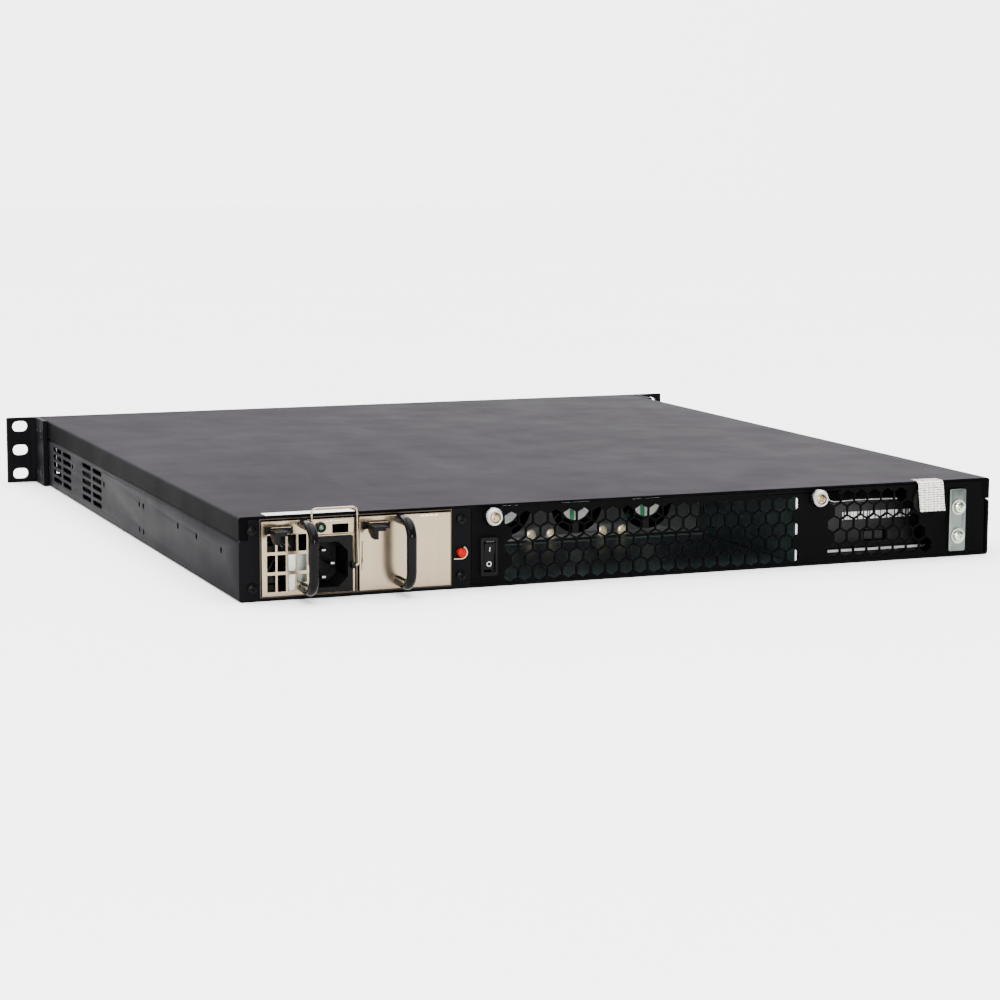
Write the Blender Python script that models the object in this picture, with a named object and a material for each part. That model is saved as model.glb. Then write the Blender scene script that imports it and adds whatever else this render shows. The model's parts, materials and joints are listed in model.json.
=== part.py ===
"""A one-unit rack firewall appliance, modelled as separate parts.

+Z is up, the front panel faces -Y and the service side faces +Y. The origin is
under the middle of the whole assembly, on the surface that it stands on. Sizes
in this file are millimetres; mesh_object() turns them into Blender's metres.
"""
import math

import bmesh
import bpy
from mathutils import Matrix, Vector

MM = 0.001

# Driving dimensions
WIDTH = 438.0          # chassis, side to side
HEIGHT = 43.6          # one rack unit less its clearance
DEPTH = 485.0          # front panel to rear wall
RACK_WIDTH = 482.6     # across the rack ears
SHEET = 1.2            # painted sheet steel
GAP = 0.3              # clearance between neighbouring parts
SKIRT = 11.7           # how far the cover's skirts hang down
HANDLE_REACH = 21.6    # furthest piece behind the rear wall
FRONT_REACH = 8.0      # furthest piece in front of the front panel

HALF = WIDTH / 2
FRONT = -(DEPTH + HANDLE_REACH - FRONT_REACH) / 2
REAR = FRONT + DEPTH
SEAM = HEIGHT - SKIRT
LID_UNDERSIDE = HEIGHT - SHEET
PANEL_THICK = 3.0

# Power bay, measured from the right-hand corner as the service side is faced
CAGE_WALL = 0.6
CAGE_DEPTH = 205.0
CAGE_LOW, CAGE_HIGH = 1.5, 42.1
CAGE_X = (104.4, 208.0)
CAGE_DIVIDER_X = (155.9, 156.9)
SUPPLY_X = (157.7, 207.1)
FILLER_X = (105.4, 155.2)
MODULE_Z = (2.4, 40.7)
MODULE_DEPTH = 192.0
MODULE_WALL = 0.8
FACE_OUT = 0.5         # module faces stand this far behind the rear wall
HANDLE_RADIUS = 2.6
HANDLE_Z = (6.0, 38.8)
HANDLE_SETBACK = 21.7  # from a module's edge to its handle
HANDLE_BEND = 8.0
LATCH_LEAF = 16.0      # from a module's edge to the latch's pivot end
INLET_X = (159.3, 179.7)
INLET_Z = (2.9, 31.6)
SOCKET_X = (162.1, 177.9)
SOCKET_Z = (5.6, 29.0)
INLET_BLADES = ((173.7, 7.0), (168.9, 0.0), (173.7, -7.0))    # x, height above the middle
INLET_LUGS = ((159.0, 160.8), (178.4, 180.1))
WINDOW = ((161.1, 169.8), (33.2, 37.8))                       # slot above the inlet
LAMP_AT = (175.9, 36.4)
BAIL_PIVOT = (REAR + 4.4, 16.6)
BAIL_X = (157.0, 181.3)
BAIL_WIRE = 0.6

# Middle and right of the service side
MID_STRIP_X = (94.0, 104.1)
VENT_PLATE_X = (-216.0, 93.7)
VENT_PLATE_Z = (1.5, 42.1)
ALARM_AT = (99.6, 19.1)
ALARM_RADIUS = 2.4
SWITCH_X = (79.6, 89.0)
SWITCH_Z = (6.0, 26.3)
ROCKER_X = (81.2, 87.2)
ROCKER_Z = (8.95, 23.35)
THUMB_AT = ((82.8, 37.3), (-108.8, 37.5))
THUMB_RADIUS = 4.9
HEX_FLAT = 7.4
# Each group: first hole in x and z, holes in its long and short rows, pitch, row step
HEX_GROUPS = (((71.3, 34.9), (21, 20), 8.32, 7.2),
              ((-120.2, 36.6), (8, 7), 8.37, 7.25))
PLUG_AT = (-177.0, 33.0)
PLUG_RADIUS = 7.5
GROUND_X = (-203.0, -192.6)
GROUND_Z = (3.2, 38.2)
GROUND_SCREW_Z = (11.9, 28.1)

# Inside
FAN_WALL_AHEAD = 120.0
FAN_SIZE = 40.0
FAN_DEPTH = 28.0
FAN_X = (27.1, -17.7, -62.6)
FAN_Z = 21.6
FAN_HUB = 9.8
FAN_OPENING = 16.0     # radius of the fan wall's round openings
SUPPLY_FAN_HUB = 7.5
PARTITION_X = -98.3
BOARD_Z = (7.5, 9.1)
DRIVE_X = (-202.0, -100.4)
DRIVE_Z = (2.9, 29.0)
DRIVE_Y = (REAR - 177.0, REAR - 30.0)

# Front panel
DISPLAY_X = (-205.0, -140.0)
DISPLAY_Z = (12.0, 33.0)
KEY_AT = {"key_up": (-127.0, 30.0), "key_down": (-127.0, 15.0),
          "key_enter": (-112.0, 30.0), "key_back": (-112.0, 15.0)}
KEY_RADIUS = 3.4
LAMP_ROW_X = -99.0
LAMP_ROW_Z = (15.0, 22.5, 30.0)
USB_X = (-91.0, -75.0)
CONSOLE_X = (-70.0, -36.0)
PORTS_X = (-30.0, 38.0)
JACK = (11.8, 8.4, 13.0)       # width, height and depth of a cable jack
EXPANSION_X = (48.0, 208.0)
EXPANSION_Z = (5.0, 38.4)
EXPANSION_DEPTH = 172.0
OPTIC = (14.0, 9.4, 45.0)      # width, height and depth of an optics bay
MODULE_SCREW_X = (56.0, 200.0)

PAINT = ((0.022, 0.023, 0.027), 0.5, 0.0)
NICKEL = ((0.66, 0.62, 0.54), 0.28, 1.0)
STEEL = ((0.62, 0.62, 0.62), 0.25, 1.0)
ZINC = ((0.42, 0.47, 0.48), 0.4, 1.0)
PLASTIC = ((0.012, 0.012, 0.013), 0.42, 0.0)
BOARD = ((0.02, 0.16, 0.07), 0.45, 0.0)
RED = ((0.72, 0.01, 0.012), 0.35, 0.0)
ALLOY = ((0.6, 0.6, 0.62), 0.35, 1.0)
SMOKED = ((0.02, 0.03, 0.05), 0.12, 0.0)


# ---- shapes: lists of corners and faces, in millimetres ----

def prism(outline, axis, low, high):
    """A flat outline pushed from low to high along an axis."""
    order = {"x": (2, 0, 1), "y": (0, 2, 1), "z": (0, 1, 2)}[axis]
    corners = []
    for level in (low, high):
        for a, b in outline:
            flat = (a, b, level)
            corners.append(tuple(flat[i] for i in order))
    count = len(outline)
    faces = [list(range(count))[::-1], [count + i for i in range(count)]]
    for i in range(count):
        j = (i + 1) % count
        faces.append([i, j, count + j, count + i])
    return corners, faces


def rectangle(a, b):
    return [(a[0], b[0]), (a[1], b[0]), (a[1], b[1]), (a[0], b[1])]


def box(x, y, z):
    return prism(rectangle(x, y), "z", z[0], z[1])


def joined(shapes):
    """Several separate shapes as one list of corners and faces."""
    corners, faces = [], []
    for shape_corners, shape_faces in shapes:
        base = len(corners)
        corners += shape_corners
        faces += [[base + i for i in face] for face in shape_faces]
    return corners, faces


def circle(centre, radius, count, turn=0.0):
    points = []
    for i in range(count):
        angle = turn + math.tau * i / count
        points.append((centre[0] + radius * math.cos(angle),
                       centre[1] + radius * math.sin(angle)))
    return points


def arc(centre, radius, start, end, steps):
    """Points from one angle to another, in degrees."""
    points = []
    for i in range(steps + 1):
        angle = math.radians(start + (end - start) * i / steps)
        points.append((centre[0] + radius * math.cos(angle),
                       centre[1] + radius * math.sin(angle)))
    return points


def rounded(a, b, radius, steps=3):
    """A rectangle with round corners."""
    low_a, high_a = a[0] + radius, a[1] - radius
    low_b, high_b = b[0] + radius, b[1] - radius
    return (arc((high_a, low_b), radius, -90, 0, steps)
            + arc((high_a, high_b), radius, 0, 90, steps)
            + arc((low_a, high_b), radius, 90, 180, steps)
            + arc((low_a, low_b), radius, 180, 270, steps))


def turned(profile, centre, axis, count=24):
    """A lathe part: (radius, along) points turned about an axis."""
    corners, faces, rings = [], [], []
    for radius, along in profile:
        if radius < 1e-6:
            ring = [len(corners)]
            flat = [(centre[0], centre[1])]
        else:
            flat = circle(centre, radius, count)
            ring = list(range(len(corners), len(corners) + count))
        for a, b in flat:
            place = {"x": (along, a, b), "y": (a, along, b), "z": (a, b, along)}
            corners.append(place[axis])
        rings.append(ring)
    for first, second in zip(rings, rings[1:]):
        for i in range(count):
            j = (i + 1) % count
            face = [first[i % len(first)], first[j % len(first)],
                    second[j % len(second)], second[i % len(second)]]
            faces.append(list(dict.fromkeys(face)))
    return corners, faces


# ---- objects ----

def clear_scene():
    for obj in list(bpy.data.objects):
        bpy.data.objects.remove(obj, do_unlink=True)


def finish(name, look):
    colour, roughness, metallic = look
    material = bpy.data.materials.new(name)
    material.use_nodes = True
    shader = material.node_tree.nodes["Principled BSDF"]
    shader.inputs["Base Color"].default_value = (*colour, 1.0)
    shader.inputs["Roughness"].default_value = roughness
    shader.inputs["Metallic"].default_value = metallic
    return material


def mesh_object(name, shape, origin=(0.0, 0.0, 0.0)):
    """A closed mesh in metres, with its origin at a point in millimetres."""
    corners, faces = shape
    mesh = bpy.data.meshes.new(name)
    shifted = [(Vector(corner) - Vector(origin)) * MM for corner in corners]
    mesh.from_pydata(shifted, [], faces)
    work = bmesh.new()
    work.from_mesh(mesh)
    bmesh.ops.recalc_face_normals(work, faces=work.faces)
    work.to_mesh(mesh)
    work.free()
    obj = bpy.data.objects.new(name, mesh)
    obj.location = Vector(origin) * MM
    bpy.context.scene.collection.objects.link(obj)
    return obj


def combine(obj, shape, operation, number):
    """Adds or cuts one shape with a hidden tool object."""
    tool = mesh_object(f"{obj.name}_tool_{number}", shape)
    tool.hide_render = True
    tool.display_type = "WIRE"
    step = obj.modifiers.new(f"{operation.lower()}_{number}", "BOOLEAN")
    step.operation = operation
    step.object = tool
    step.solver = "EXACT"


def part(name, look, shapes, cuts=(), origin=(0.0, 0.0, 0.0), smooth=False):
    """One closed body: the first shape with the others added and cuts taken."""
    first, *others = shapes
    obj = mesh_object(name, first, origin)
    obj.data.materials.append(finish(name, look))
    for number, shape in enumerate(others):
        combine(obj, shape, "UNION", number)
    for number, shape in enumerate(cuts, len(others)):
        combine(obj, shape, "DIFFERENCE", number)
    if smooth:
        obj.data.shade_smooth()
        obj.data.set_sharp_from_angle(angle=math.radians(40))
    return obj


def rod(name, look, route, radius, origin):
    """A bent round bar along a route of points, with flat ends."""
    curve = bpy.data.curves.new(name, "CURVE")
    curve.dimensions = "3D"
    curve.bevel_depth = radius * MM
    curve.bevel_resolution = 2
    curve.use_fill_caps = True
    spline = curve.splines.new("POLY")
    spline.points.add(len(route) - 1)
    for point, place in zip(spline.points, route):
        point.co = (*((Vector(place) - Vector(origin)) * MM), 1.0)
    curve.materials.append(finish(name, look))
    obj = bpy.data.objects.new(name, curve)
    obj.location = Vector(origin) * MM
    bpy.context.scene.collection.objects.link(obj)
    return obj


# ---- chassis ----

def mirrored(points):
    """A half outline and its mirror image about x = 0, as one closed outline."""
    return points + [(-x, z) for x, z in reversed(points)]


def side_vents():
    """Two groups of two columns of slots in each side wall."""
    columns = (44.0, 72.8, 129.6, 158.2)
    length, width, rows, row_step, lowest = 24.5, 3.0, 5, 4.97, 7.1
    slots = []
    for side in (-1, 1):
        span = sorted((side * (HALF - 3.0), side * (HALF + 1.0)))
        for start in columns:
            for row in range(rows):
                z = lowest + row * row_step
                y = (FRONT + start, FRONT + start + length)
                outline = rounded(y, (z - width / 2, z + width / 2), width / 2 - 0.01, 1)
                slots.append(prism(outline, "x", *span))
    return joined(slots)


def rail_holes():
    """Round fixing holes for slide rails along both side walls."""
    upper, lower, radius = 22.0, 7.2, 1.9
    places = [(102.0, upper), (189.0, upper), (278.0, upper), (287.5, upper),
              (278.0, lower), (287.5, lower), (365.0, upper), (403.5, upper), (452.0, upper)]
    holes = []
    for side in (-1, 1):
        span = sorted((side * (HALF - 3.0), side * (HALF + 1.0)))
        for y, z in places:
            holes.append(prism(circle((FRONT + y, z), radius, 6), "x", *span))
    return joined(holes)


def base_tray():
    """Floor, side walls stepped in under the cover's skirts, and rear strips."""
    step, bend = 1.5, 1.6
    outer = (arc((HALF - bend, bend), bend, -90, 0, 3)
             + [(HALF, SEAM - 1.5), (HALF - step, SEAM - GAP)])
    inner = [(HALF - step - SHEET, SEAM - GAP), (HALF - SHEET, SEAM - 1.5), (HALF - SHEET, SHEET)]
    wall_top = LID_UNDERSIDE - GAP
    half = outer + [(HALF - step, wall_top), (HALF - step - SHEET, wall_top)] + inner
    shell = prism(mirrored(half), "y", FRONT + PANEL_THICK + GAP, REAR)
    flange_in = HALF - 4.5 - GAP
    corner = [(CAGE_X[1] + GAP, 0.5), (HALF - 0.5, 0.5), (HALF - 0.5, SEAM - GAP),
              (flange_in, SEAM - GAP), (flange_in, wall_top), (CAGE_X[1] + GAP, wall_top)]
    strip_y = (REAR - SHEET, REAR)
    corner_strip = prism(corner, "y", *strip_y)
    middle_strip = box(MID_STRIP_X, strip_y, (0.5, wall_top))
    alarm_hole = prism(circle(ALARM_AT, ALARM_RADIUS + GAP, 16), "y", REAR - 4, REAR + 1)
    flange_room = joined([
        box(sorted((side * flange_in, side * HALF)), (REAR - SHEET - GAP, REAR + 1.0),
            (SEAM - GAP, HEIGHT)) for side in (-1, 1)])
    part("base_tray", PAINT, [shell, corner_strip, middle_strip],
         [side_vents(), rail_holes(), alarm_hole, flange_room])


def top_cover():
    """Lid with side skirts, return flanges and two notched screw tabs."""
    bend = 1.4
    half = [(HALF, SEAM)] + arc((HALF - bend, HEIGHT - bend), bend, 0, 90, 3)
    inner = [(HALF - SHEET, LID_UNDERSIDE), (HALF - SHEET, SEAM)]
    outline = half + [(-x, z) for x, z in reversed(half)]
    outline += [(-x, z) for x, z in reversed(inner)] + inner
    lid = prism(outline, "y", FRONT + PANEL_THICK + GAP, REAR)
    flanges = [box(sorted((side * (HALF - 4.5), side * (HALF - 0.5))),
                   (REAR - SHEET, REAR), (SEAM, HEIGHT - 0.5)) for side in (-1, 1)]
    tabs = [screw_tab(x, z) for x, z in THUMB_AT]
    part("top_cover", PAINT, [lid, *flanges, *tabs])


def screw_tab(x, z):
    """A tab under the lid with a slot open downwards, which a thumbscrew clamps."""
    half_width, slot, drop = 7.0, 2.2, 5.0
    outline = [(x - half_width, z - drop), (x - slot, z - drop)]
    outline += arc((x, z), slot, 180, 0, 6)
    outline += [(x + slot, z - drop), (x + half_width, z - drop),
                (x + half_width, LID_UNDERSIDE + 0.5), (x - half_width, LID_UNDERSIDE + 0.5)]
    return prism(outline, "y", REAR - 2.8, REAR - 1.6)


def rack_ear(name, side):
    """An angle bracket: a slotted flange and a leg along the chassis side."""
    thick, leg, bend = 3.2, 28.5, 2.6
    inside = HALF + GAP
    outside = RACK_WIDTH / 2
    back = FRONT + PANEL_THICK
    outline = [(inside, FRONT), (outside, FRONT), (outside, back)]
    outline += arc((inside + thick + bend, back + bend), bend, 270, 180, 3)
    outline += [(inside + thick, FRONT + leg), (inside, FRONT + leg)]
    outline = [(side * x, y) for x, y in outline]
    slot_length, slot_height, spread = 10.4, 7.1, 15.875
    middle = side * 232.5
    slots = []
    for step in (-1, 0, 1):
        z = HEIGHT / 2 + step * spread
        span = (middle - slot_length / 2, middle + slot_length / 2)
        slot = rounded(span, (z - slot_height / 2, z + slot_height / 2), slot_height / 2 - 0.01, 4)
        slots.append(prism(slot, "y", FRONT - 1, back + 1))
    part(name, PAINT, [prism(outline, "z", 0.0, HEIGHT)], [joined(slots)])


def hexes(first, counts, step, row_step):
    """Rows of hexagonal holes; odd and even rows are half a pitch apart."""
    radius = HEX_FLAT / math.sqrt(3)
    cells = []
    for row in range(5):
        z = first[1] - row * row_step
        offset = step / 2 if row % 2 else 0.0
        for i in range(counts[row % 2]):
            x = first[0] - offset - i * step
            cells.append(prism(circle((x, z), radius, 6, math.radians(30)), "y",
                               REAR - 5, REAR + 2))
    return cells


def rear_vent_plate():
    """The perforated part of the rear wall, with the switch and screw holes."""
    x, z = VENT_PLATE_X, VENT_PLATE_Z
    flange_in = 4.5 + GAP - HALF
    outline = [(x[0], z[0]), (x[1], z[0]), (x[1], z[1]), (flange_in, z[1]),
               (flange_in, SEAM - GAP), (x[0], SEAM - GAP)]
    sheet = prism(outline, "y", REAR - SHEET, REAR)
    cells = [cell for group in HEX_GROUPS for cell in hexes(*group) if not near_plug(cell)]
    y = (REAR - 5, REAR + 2)
    holes = [prism(circle(at, 2.1, 12), "y", *y) for at in THUMB_AT]
    holes.append(prism(circle(PLUG_AT, PLUG_RADIUS - 1.0, 24), "y", *y))
    holes.append(box((SWITCH_X[0] + 1.0, SWITCH_X[1] - 1.0), y,
                     (SWITCH_Z[0] + 0.8, SWITCH_Z[1] - 0.8)))
    middle = sum(GROUND_X) / 2
    holes += [prism(circle((middle, z), 1.9, 12), "y", *y) for z in GROUND_SCREW_Z]
    part("rear_vent_plate", PAINT, [sheet], [joined(cells), joined(holes)])


def near_plug(cell):
    """True for a hexagon that the round knock-out would run into."""
    corners = cell[0]
    x = sum(corner[0] for corner in corners) / len(corners)
    z = sum(corner[2] for corner in corners) / len(corners)
    return math.hypot(x - PLUG_AT[0], z - PLUG_AT[1]) < PLUG_RADIUS + HEX_FLAT / 2


def hole_plug():
    head, neck = PLUG_RADIUS, PLUG_RADIUS - 1.0 - GAP
    profile = [(0, REAR - 3.0), (neck - 0.6, REAR - 3.0), (neck, REAR - 2.4),
               (neck, REAR + GAP), (head, REAR + GAP), (head, REAR + 0.9),
               (head - 0.7, REAR + 1.5), (0, REAR + 1.5)]
    part("hole_plug", PLASTIC, [turned(profile, PLUG_AT, "y")], smooth=True)


def partition_wall():
    x = (PARTITION_X, PARTITION_X + SHEET)
    part("partition_wall", ALLOY, [box(x, (REAR - 176.0, REAR - 2.0), (1.5, 42.0))])


# ---- rear fittings ----

def thumbscrew(name, at, face, direction, reach=6.4, shank=9.0, radius=THUMB_RADIUS):
    """A captive knob with a shank; direction is the way its head faces."""
    grip, rim = radius, 0.6
    steps = [(0, -shank), (1.4, -shank), (1.7, -shank + 0.6), (1.7, GAP),
             (grip - rim, GAP), (grip, GAP + rim), (grip, reach - rim),
             (grip - rim, reach), (2.9, reach), (2.6, reach - 0.8), (0, reach - 0.8)]
    profile = [(radius_at, face + direction * along) for radius_at, along in steps]
    origin = (at[0], face, at[1])
    part(name, STEEL, [turned(profile, at, "y", 16)], origin=origin, smooth=True)


def alarm_button():
    profile = [(0, REAR - 5.0), (3.3, REAR - 5.0), (3.3, REAR - 3.2), (ALARM_RADIUS, REAR - 3.2),
               (ALARM_RADIUS, REAR + 2.4), (ALARM_RADIUS - 0.5, REAR + 2.9), (0, REAR + 2.9)]
    part("alarm_button", RED, [turned(profile, ALARM_AT, "y", 20)],
         origin=(ALARM_AT[0], REAR, ALARM_AT[1]), smooth=True)
    x, z = ALARM_AT
    edge, hole = 3.5, ALARM_RADIUS + GAP
    far = x + 4.2
    outline = [(far, z + edge)] + arc((x, z), edge, 90, 270, 8) + [(far, z - edge)]
    part("alarm_bezel", NICKEL, [prism(outline, "y", REAR + GAP, REAR + 1.3)],
         [prism(circle(ALARM_AT, hole, 20), "y", REAR - 1, REAR + 3)])


def power_switch():
    inner_x = (ROCKER_X[0] - GAP, ROCKER_X[1] + GAP)
    inner_z = (ROCKER_Z[0] - 1.0, ROCKER_Z[1] + 1.0)
    flange = prism(rounded(SWITCH_X, SWITCH_Z, 0.8, 2), "y", REAR + GAP, REAR + 1.9)
    body_x = (SWITCH_X[0] + 1.3, SWITCH_X[1] - 1.3)
    body_z = (SWITCH_Z[0] + 1.2, SWITCH_Z[1] - 1.2)
    body = box(body_x, (REAR - 13.0, REAR + 1.0), body_z)
    well = box(inner_x, (REAR - 11.5, REAR + 4.0), inner_z)
    part("switch_bezel", PLASTIC, [flange, body], [well])
    middle_z = sum(ROCKER_Z) / 2
    half, tilt, pivot_y = (ROCKER_Z[1] - ROCKER_Z[0]) / 2, math.radians(7), REAR - 2.0
    low, high = 3.4 + half * math.sin(tilt), 3.4 - half * math.sin(tilt)
    outline = [(pivot_y - 5.0, middle_z - 2.5), (pivot_y - 5.0, middle_z + 2.5),
               (pivot_y + 0.4, middle_z + half), (pivot_y + low + 0.4, middle_z + half),
               (pivot_y + 3.1, middle_z),
               (pivot_y + high + 0.4, middle_z - half), (pivot_y - 1.0, middle_z - half)]
    part("switch_rocker", PLASTIC, [prism(outline, "x", *ROCKER_X)],
         origin=(sum(ROCKER_X) / 2, pivot_y, middle_z))


def ground_lug():
    """Bonding plate held by two screws with washers."""
    middle = sum(GROUND_X) / 2
    y = (REAR + GAP, REAR + 1.8)
    holes = [prism(circle((middle, z), 2.0, 12), "y", REAR - 1, REAR + 4) for z in GROUND_SCREW_Z]
    part("ground_plate", ZINC, [prism(rounded(GROUND_X, GROUND_Z, 0.8, 2), "y", *y)],
         [joined(holes)])
    top = y[1] + GAP
    for name, z in zip(("ground_screw_lower", "ground_screw_upper"), GROUND_SCREW_Z):
        profile = [(0, REAR - 6.0), (1.6, REAR - 6.0), (1.6, top), (4.3, top), (4.3, top + 0.8),
                   (2.9, top + 0.8), (2.8, top + 2.0), (2.2, top + 2.7), (0, top + 2.9)]
        part(name, STEEL, [turned(profile, (middle, z), "y", 16)], smooth=True)


# ---- power bay ----

def psu_cage():
    """A nickel sheet tunnel with two bays, open at both ends."""
    y = (REAR - CAGE_DEPTH, REAR - GAP)
    outer = box(CAGE_X, y, (CAGE_LOW, CAGE_HIGH))
    inner_z = (CAGE_LOW + CAGE_WALL, CAGE_HIGH - CAGE_WALL)
    through = (y[0] - 1, y[1] + 1)
    bays = [box((CAGE_DIVIDER_X[1], CAGE_X[1] - CAGE_WALL), through, inner_z),
            box((CAGE_X[0] + CAGE_WALL, CAGE_DIVIDER_X[0]), through, inner_z)]
    part("psu_cage", NICKEL, [outer], [joined(bays)])


def module_shell(name, x, holes):
    """A power module's sheet box with a pierced rear face and a vented nose."""
    y = (REAR - MODULE_DEPTH, REAR + FACE_OUT)
    hollow = box((x[0] + MODULE_WALL, x[1] - MODULE_WALL), (y[0] + 1.0, y[1] - 1.0),
                 (MODULE_Z[0] + MODULE_WALL, MODULE_Z[1] - MODULE_WALL))
    nose = []
    for i in range(7):
        left = x[0] + 6.0 + i * 5.8
        nose.append(box((left, left + 3.6), (y[0] - 1, y[0] + 2), (16.0, 37.0)))
    edge_slot = box((x[0] + 8.0, x[1] - 8.0), (y[0] - 1, y[0] + 2), (4.5, 12.0))
    origin = ((x[0] + x[1]) / 2, REAR, sum(MODULE_Z) / 2)
    part(name, NICKEL, [box(x, y, MODULE_Z)], [hollow, joined([*nose, edge_slot, *holes])],
         origin=origin)


def supply_face_holes():
    """Air grille, inlet cut-out, lamp hole and the small window beside it."""
    through = (REAR - 2.0, REAR + 2.0)
    holes = []
    for column in range(4):
        for row in range(3):
            high_x = 204.4 - column * 5.5
            low_z = 4.6 + row * 10.25
            top = low_z + 8.5
            if column == 3 and row == 0:
                low_z += 4.4       # room for the foot of the handle
            holes.append(box((high_x - 4.4, high_x), through, (low_z, top)))
    holes.append(box((INLET_X[0] + 1.0, INLET_X[1] - 1.0), through,
                     (INLET_Z[0] + 1.0, INLET_Z[1] - 1.0)))
    holes.append(prism(circle(LAMP_AT, 2.2, 16), "y", *through))
    holes.append(box(WINDOW[0], through, WINDOW[1]))
    return holes


def inlet():
    """A male mains inlet with its long side upright and three flat blades."""
    chamfer = 5.0
    x, z = SOCKET_X, SOCKET_Z
    socket = [(x[1], z[0]), (x[1], z[1]), (x[0] + chamfer, z[1]), (x[0], z[1] - chamfer),
              (x[0], z[0] + chamfer), (x[0] + chamfer, z[0])]
    flange = box(INLET_X, (REAR + FACE_OUT + GAP, REAR + 2.3), INLET_Z)
    body = box((INLET_X[0] + 1.3, INLET_X[1] - 1.3), (REAR - 18.0, REAR + 1.5),
               (INLET_Z[0] + 1.3, INLET_Z[1] - 1.3))
    lugs = []
    for near, far in INLET_LUGS:
        lug = rounded((REAR + 1.5, BAIL_PIVOT[0] + 1.6),
                      (BAIL_PIVOT[1] - 1.6, BAIL_PIVOT[1] + 1.6), 1.2, 1)
        lugs.append(prism(lug, "x", near, far))
    eyes = prism(circle(BAIL_PIVOT, BAIL_WIRE + GAP, 12), "x", 150.0, 186.0)
    part("inlet_housing", PLASTIC, [flange, body, joined(lugs)],
         [prism(socket, "y", REAR - 19, REAR + 4), eyes])
    back = box((x[0] + chamfer, x[1] - GAP), (REAR - 17.5, REAR - 15.5), (z[0] + GAP, z[1] - GAP))
    key = box((x[0] + GAP, x[0] + chamfer + 0.5), (REAR - 17.5, REAR - 15.5),
              (z[0] + chamfer, z[1] - chamfer))
    middle = sum(z) / 2
    blades = []
    for across, up in INLET_BLADES:
        blades.append(box((across - 2.0, across + 2.0), (REAR - 16.0, REAR - 1.5),
                          (middle + up - 0.9, middle + up + 0.9)))
    part("inlet_contacts", STEEL, [back, key, joined(blades)])


def lamp_lens():
    face = REAR + FACE_OUT
    profile = [(0, face - 5.0), (1.9, face - 5.0), (1.9, face + GAP), (2.7, face + GAP),
               (2.7, face + 0.8), (1.7, face + 1.6), (0, face + 1.9)]
    part("psu_lamp", SMOKED, [turned(profile, LAMP_AT, "y", 16)], smooth=True)


def handle(name, x):
    """A round bar bent into a U that stands upright behind a module."""
    foot = REAR + FACE_OUT + GAP
    reach = REAR + HANDLE_REACH - HANDLE_RADIUS
    low, high = HANDLE_Z
    bend = HANDLE_BEND
    path = [(foot, low), (reach - bend - 4.0, low)]
    path += arc((reach - bend, low + bend), bend, -90, 0, 6)
    path += arc((reach - bend, high - bend), bend, 0, 90, 6)
    path += [(reach - bend - 4.0, high), (foot, high)]
    rod(name, PLASTIC, [(x, y, z) for y, z in path], HANDLE_RADIUS, (x, REAR, sum(HANDLE_Z) / 2))


def latch(name, edge):
    """A release lever: a thumb fin and an arm on a spring leaf at a module's edge."""
    face = REAR + FACE_OUT + GAP
    pivot = (edge - LATCH_LEAF + 0.5, face + 0.6)
    leaf = box((edge - LATCH_LEAF, edge - 1.0), (face, face + 1.2), (34.4, 37.8))
    arm = box((edge - 9.0, edge - 3.0), (face + 0.6, face + 15.0), (35.2, 37.4))
    fin_outline = [(face + 4.0, 36.0), (face + 4.0, 34.0), (face + 9.0, 31.0),
                   (face + 15.0, 31.0), (face + 15.0, 36.0)]
    fin = prism(fin_outline, "x", edge - 5.2, edge - 3.1)
    part(name, PLASTIC, [leaf, arm, fin], origin=(pivot[0], pivot[1], 34.0))


def cord_bail():
    """A wire bow that holds a mains plug in; it stands up when unused."""
    lean, top = 2.4, 46.3
    far, near = BAIL_X
    pivot_y, pivot_z = BAIL_PIVOT
    y = pivot_y - lean
    path = [(near - 2.8, pivot_y, pivot_z), (near - 0.9, pivot_y, pivot_z)]
    path += [(near, pivot_y, pivot_z + 0.9), (near, y + 0.1, top - 1.6)]
    path += [(near - 1.5, y, top), (far + 1.5, y, top)]
    path += [(far, y + 0.1, top - 1.6), (far, pivot_y, pivot_z + 0.9)]
    path += [(far + 0.9, pivot_y, pivot_z), (far + 3.4, pivot_y, pivot_z)]
    rod("cord_bail", STEEL, path, BAIL_WIRE, ((near + far) / 2, pivot_y, pivot_z))


def fan(frame_name, rotor_name, centre, y, size, blades, radius, hub):
    """An axial fan: a square frame with four spokes, and a bladed rotor."""
    x, z = centre
    half = size / 2
    body = prism(rounded((x - half, x + half), (z - half, z + half), 2.5, 1), "y", *y)
    bore = prism(circle(centre, radius + 0.5, 24), "y", y[0] - 1, y[1] - 2.5)
    ring = []
    for quarter in range(4):
        turn = 90 * quarter
        outline = arc(centre, radius, turn + 6, turn + 84, 6)
        outline += arc(centre, hub, turn + 78, turn + 12, 4)
        ring.append(prism(outline, "y", y[1] - 4, y[1] + 1))
    spread = half - 4.0
    screws = [prism(circle((x + a * spread, z + b * spread), 1.7, 6), "y", y[0] - 1, y[1] + 1)
              for a in (-1, 1) for b in (-1, 1)]
    part(frame_name, PLASTIC, [body], [bore, joined([*ring, *screws])])
    origin = (x, sum(y) / 2, z)
    rotor_y = (y[0] + 2.0, y[1] - 3.3)
    core = turned([(0, rotor_y[0]), (hub - 1, rotor_y[0]), (hub, rotor_y[0] + 1),
                   (hub, rotor_y[1]), (0, rotor_y[1])], centre, "y", 20)
    blades_shape = joined([fan_blade(centre, rotor_y, hub, radius - 0.6, math.tau * i / blades)
                           for i in range(blades)])
    part(rotor_name, PLASTIC, [core, blades_shape], origin=origin, smooth=True)


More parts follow.
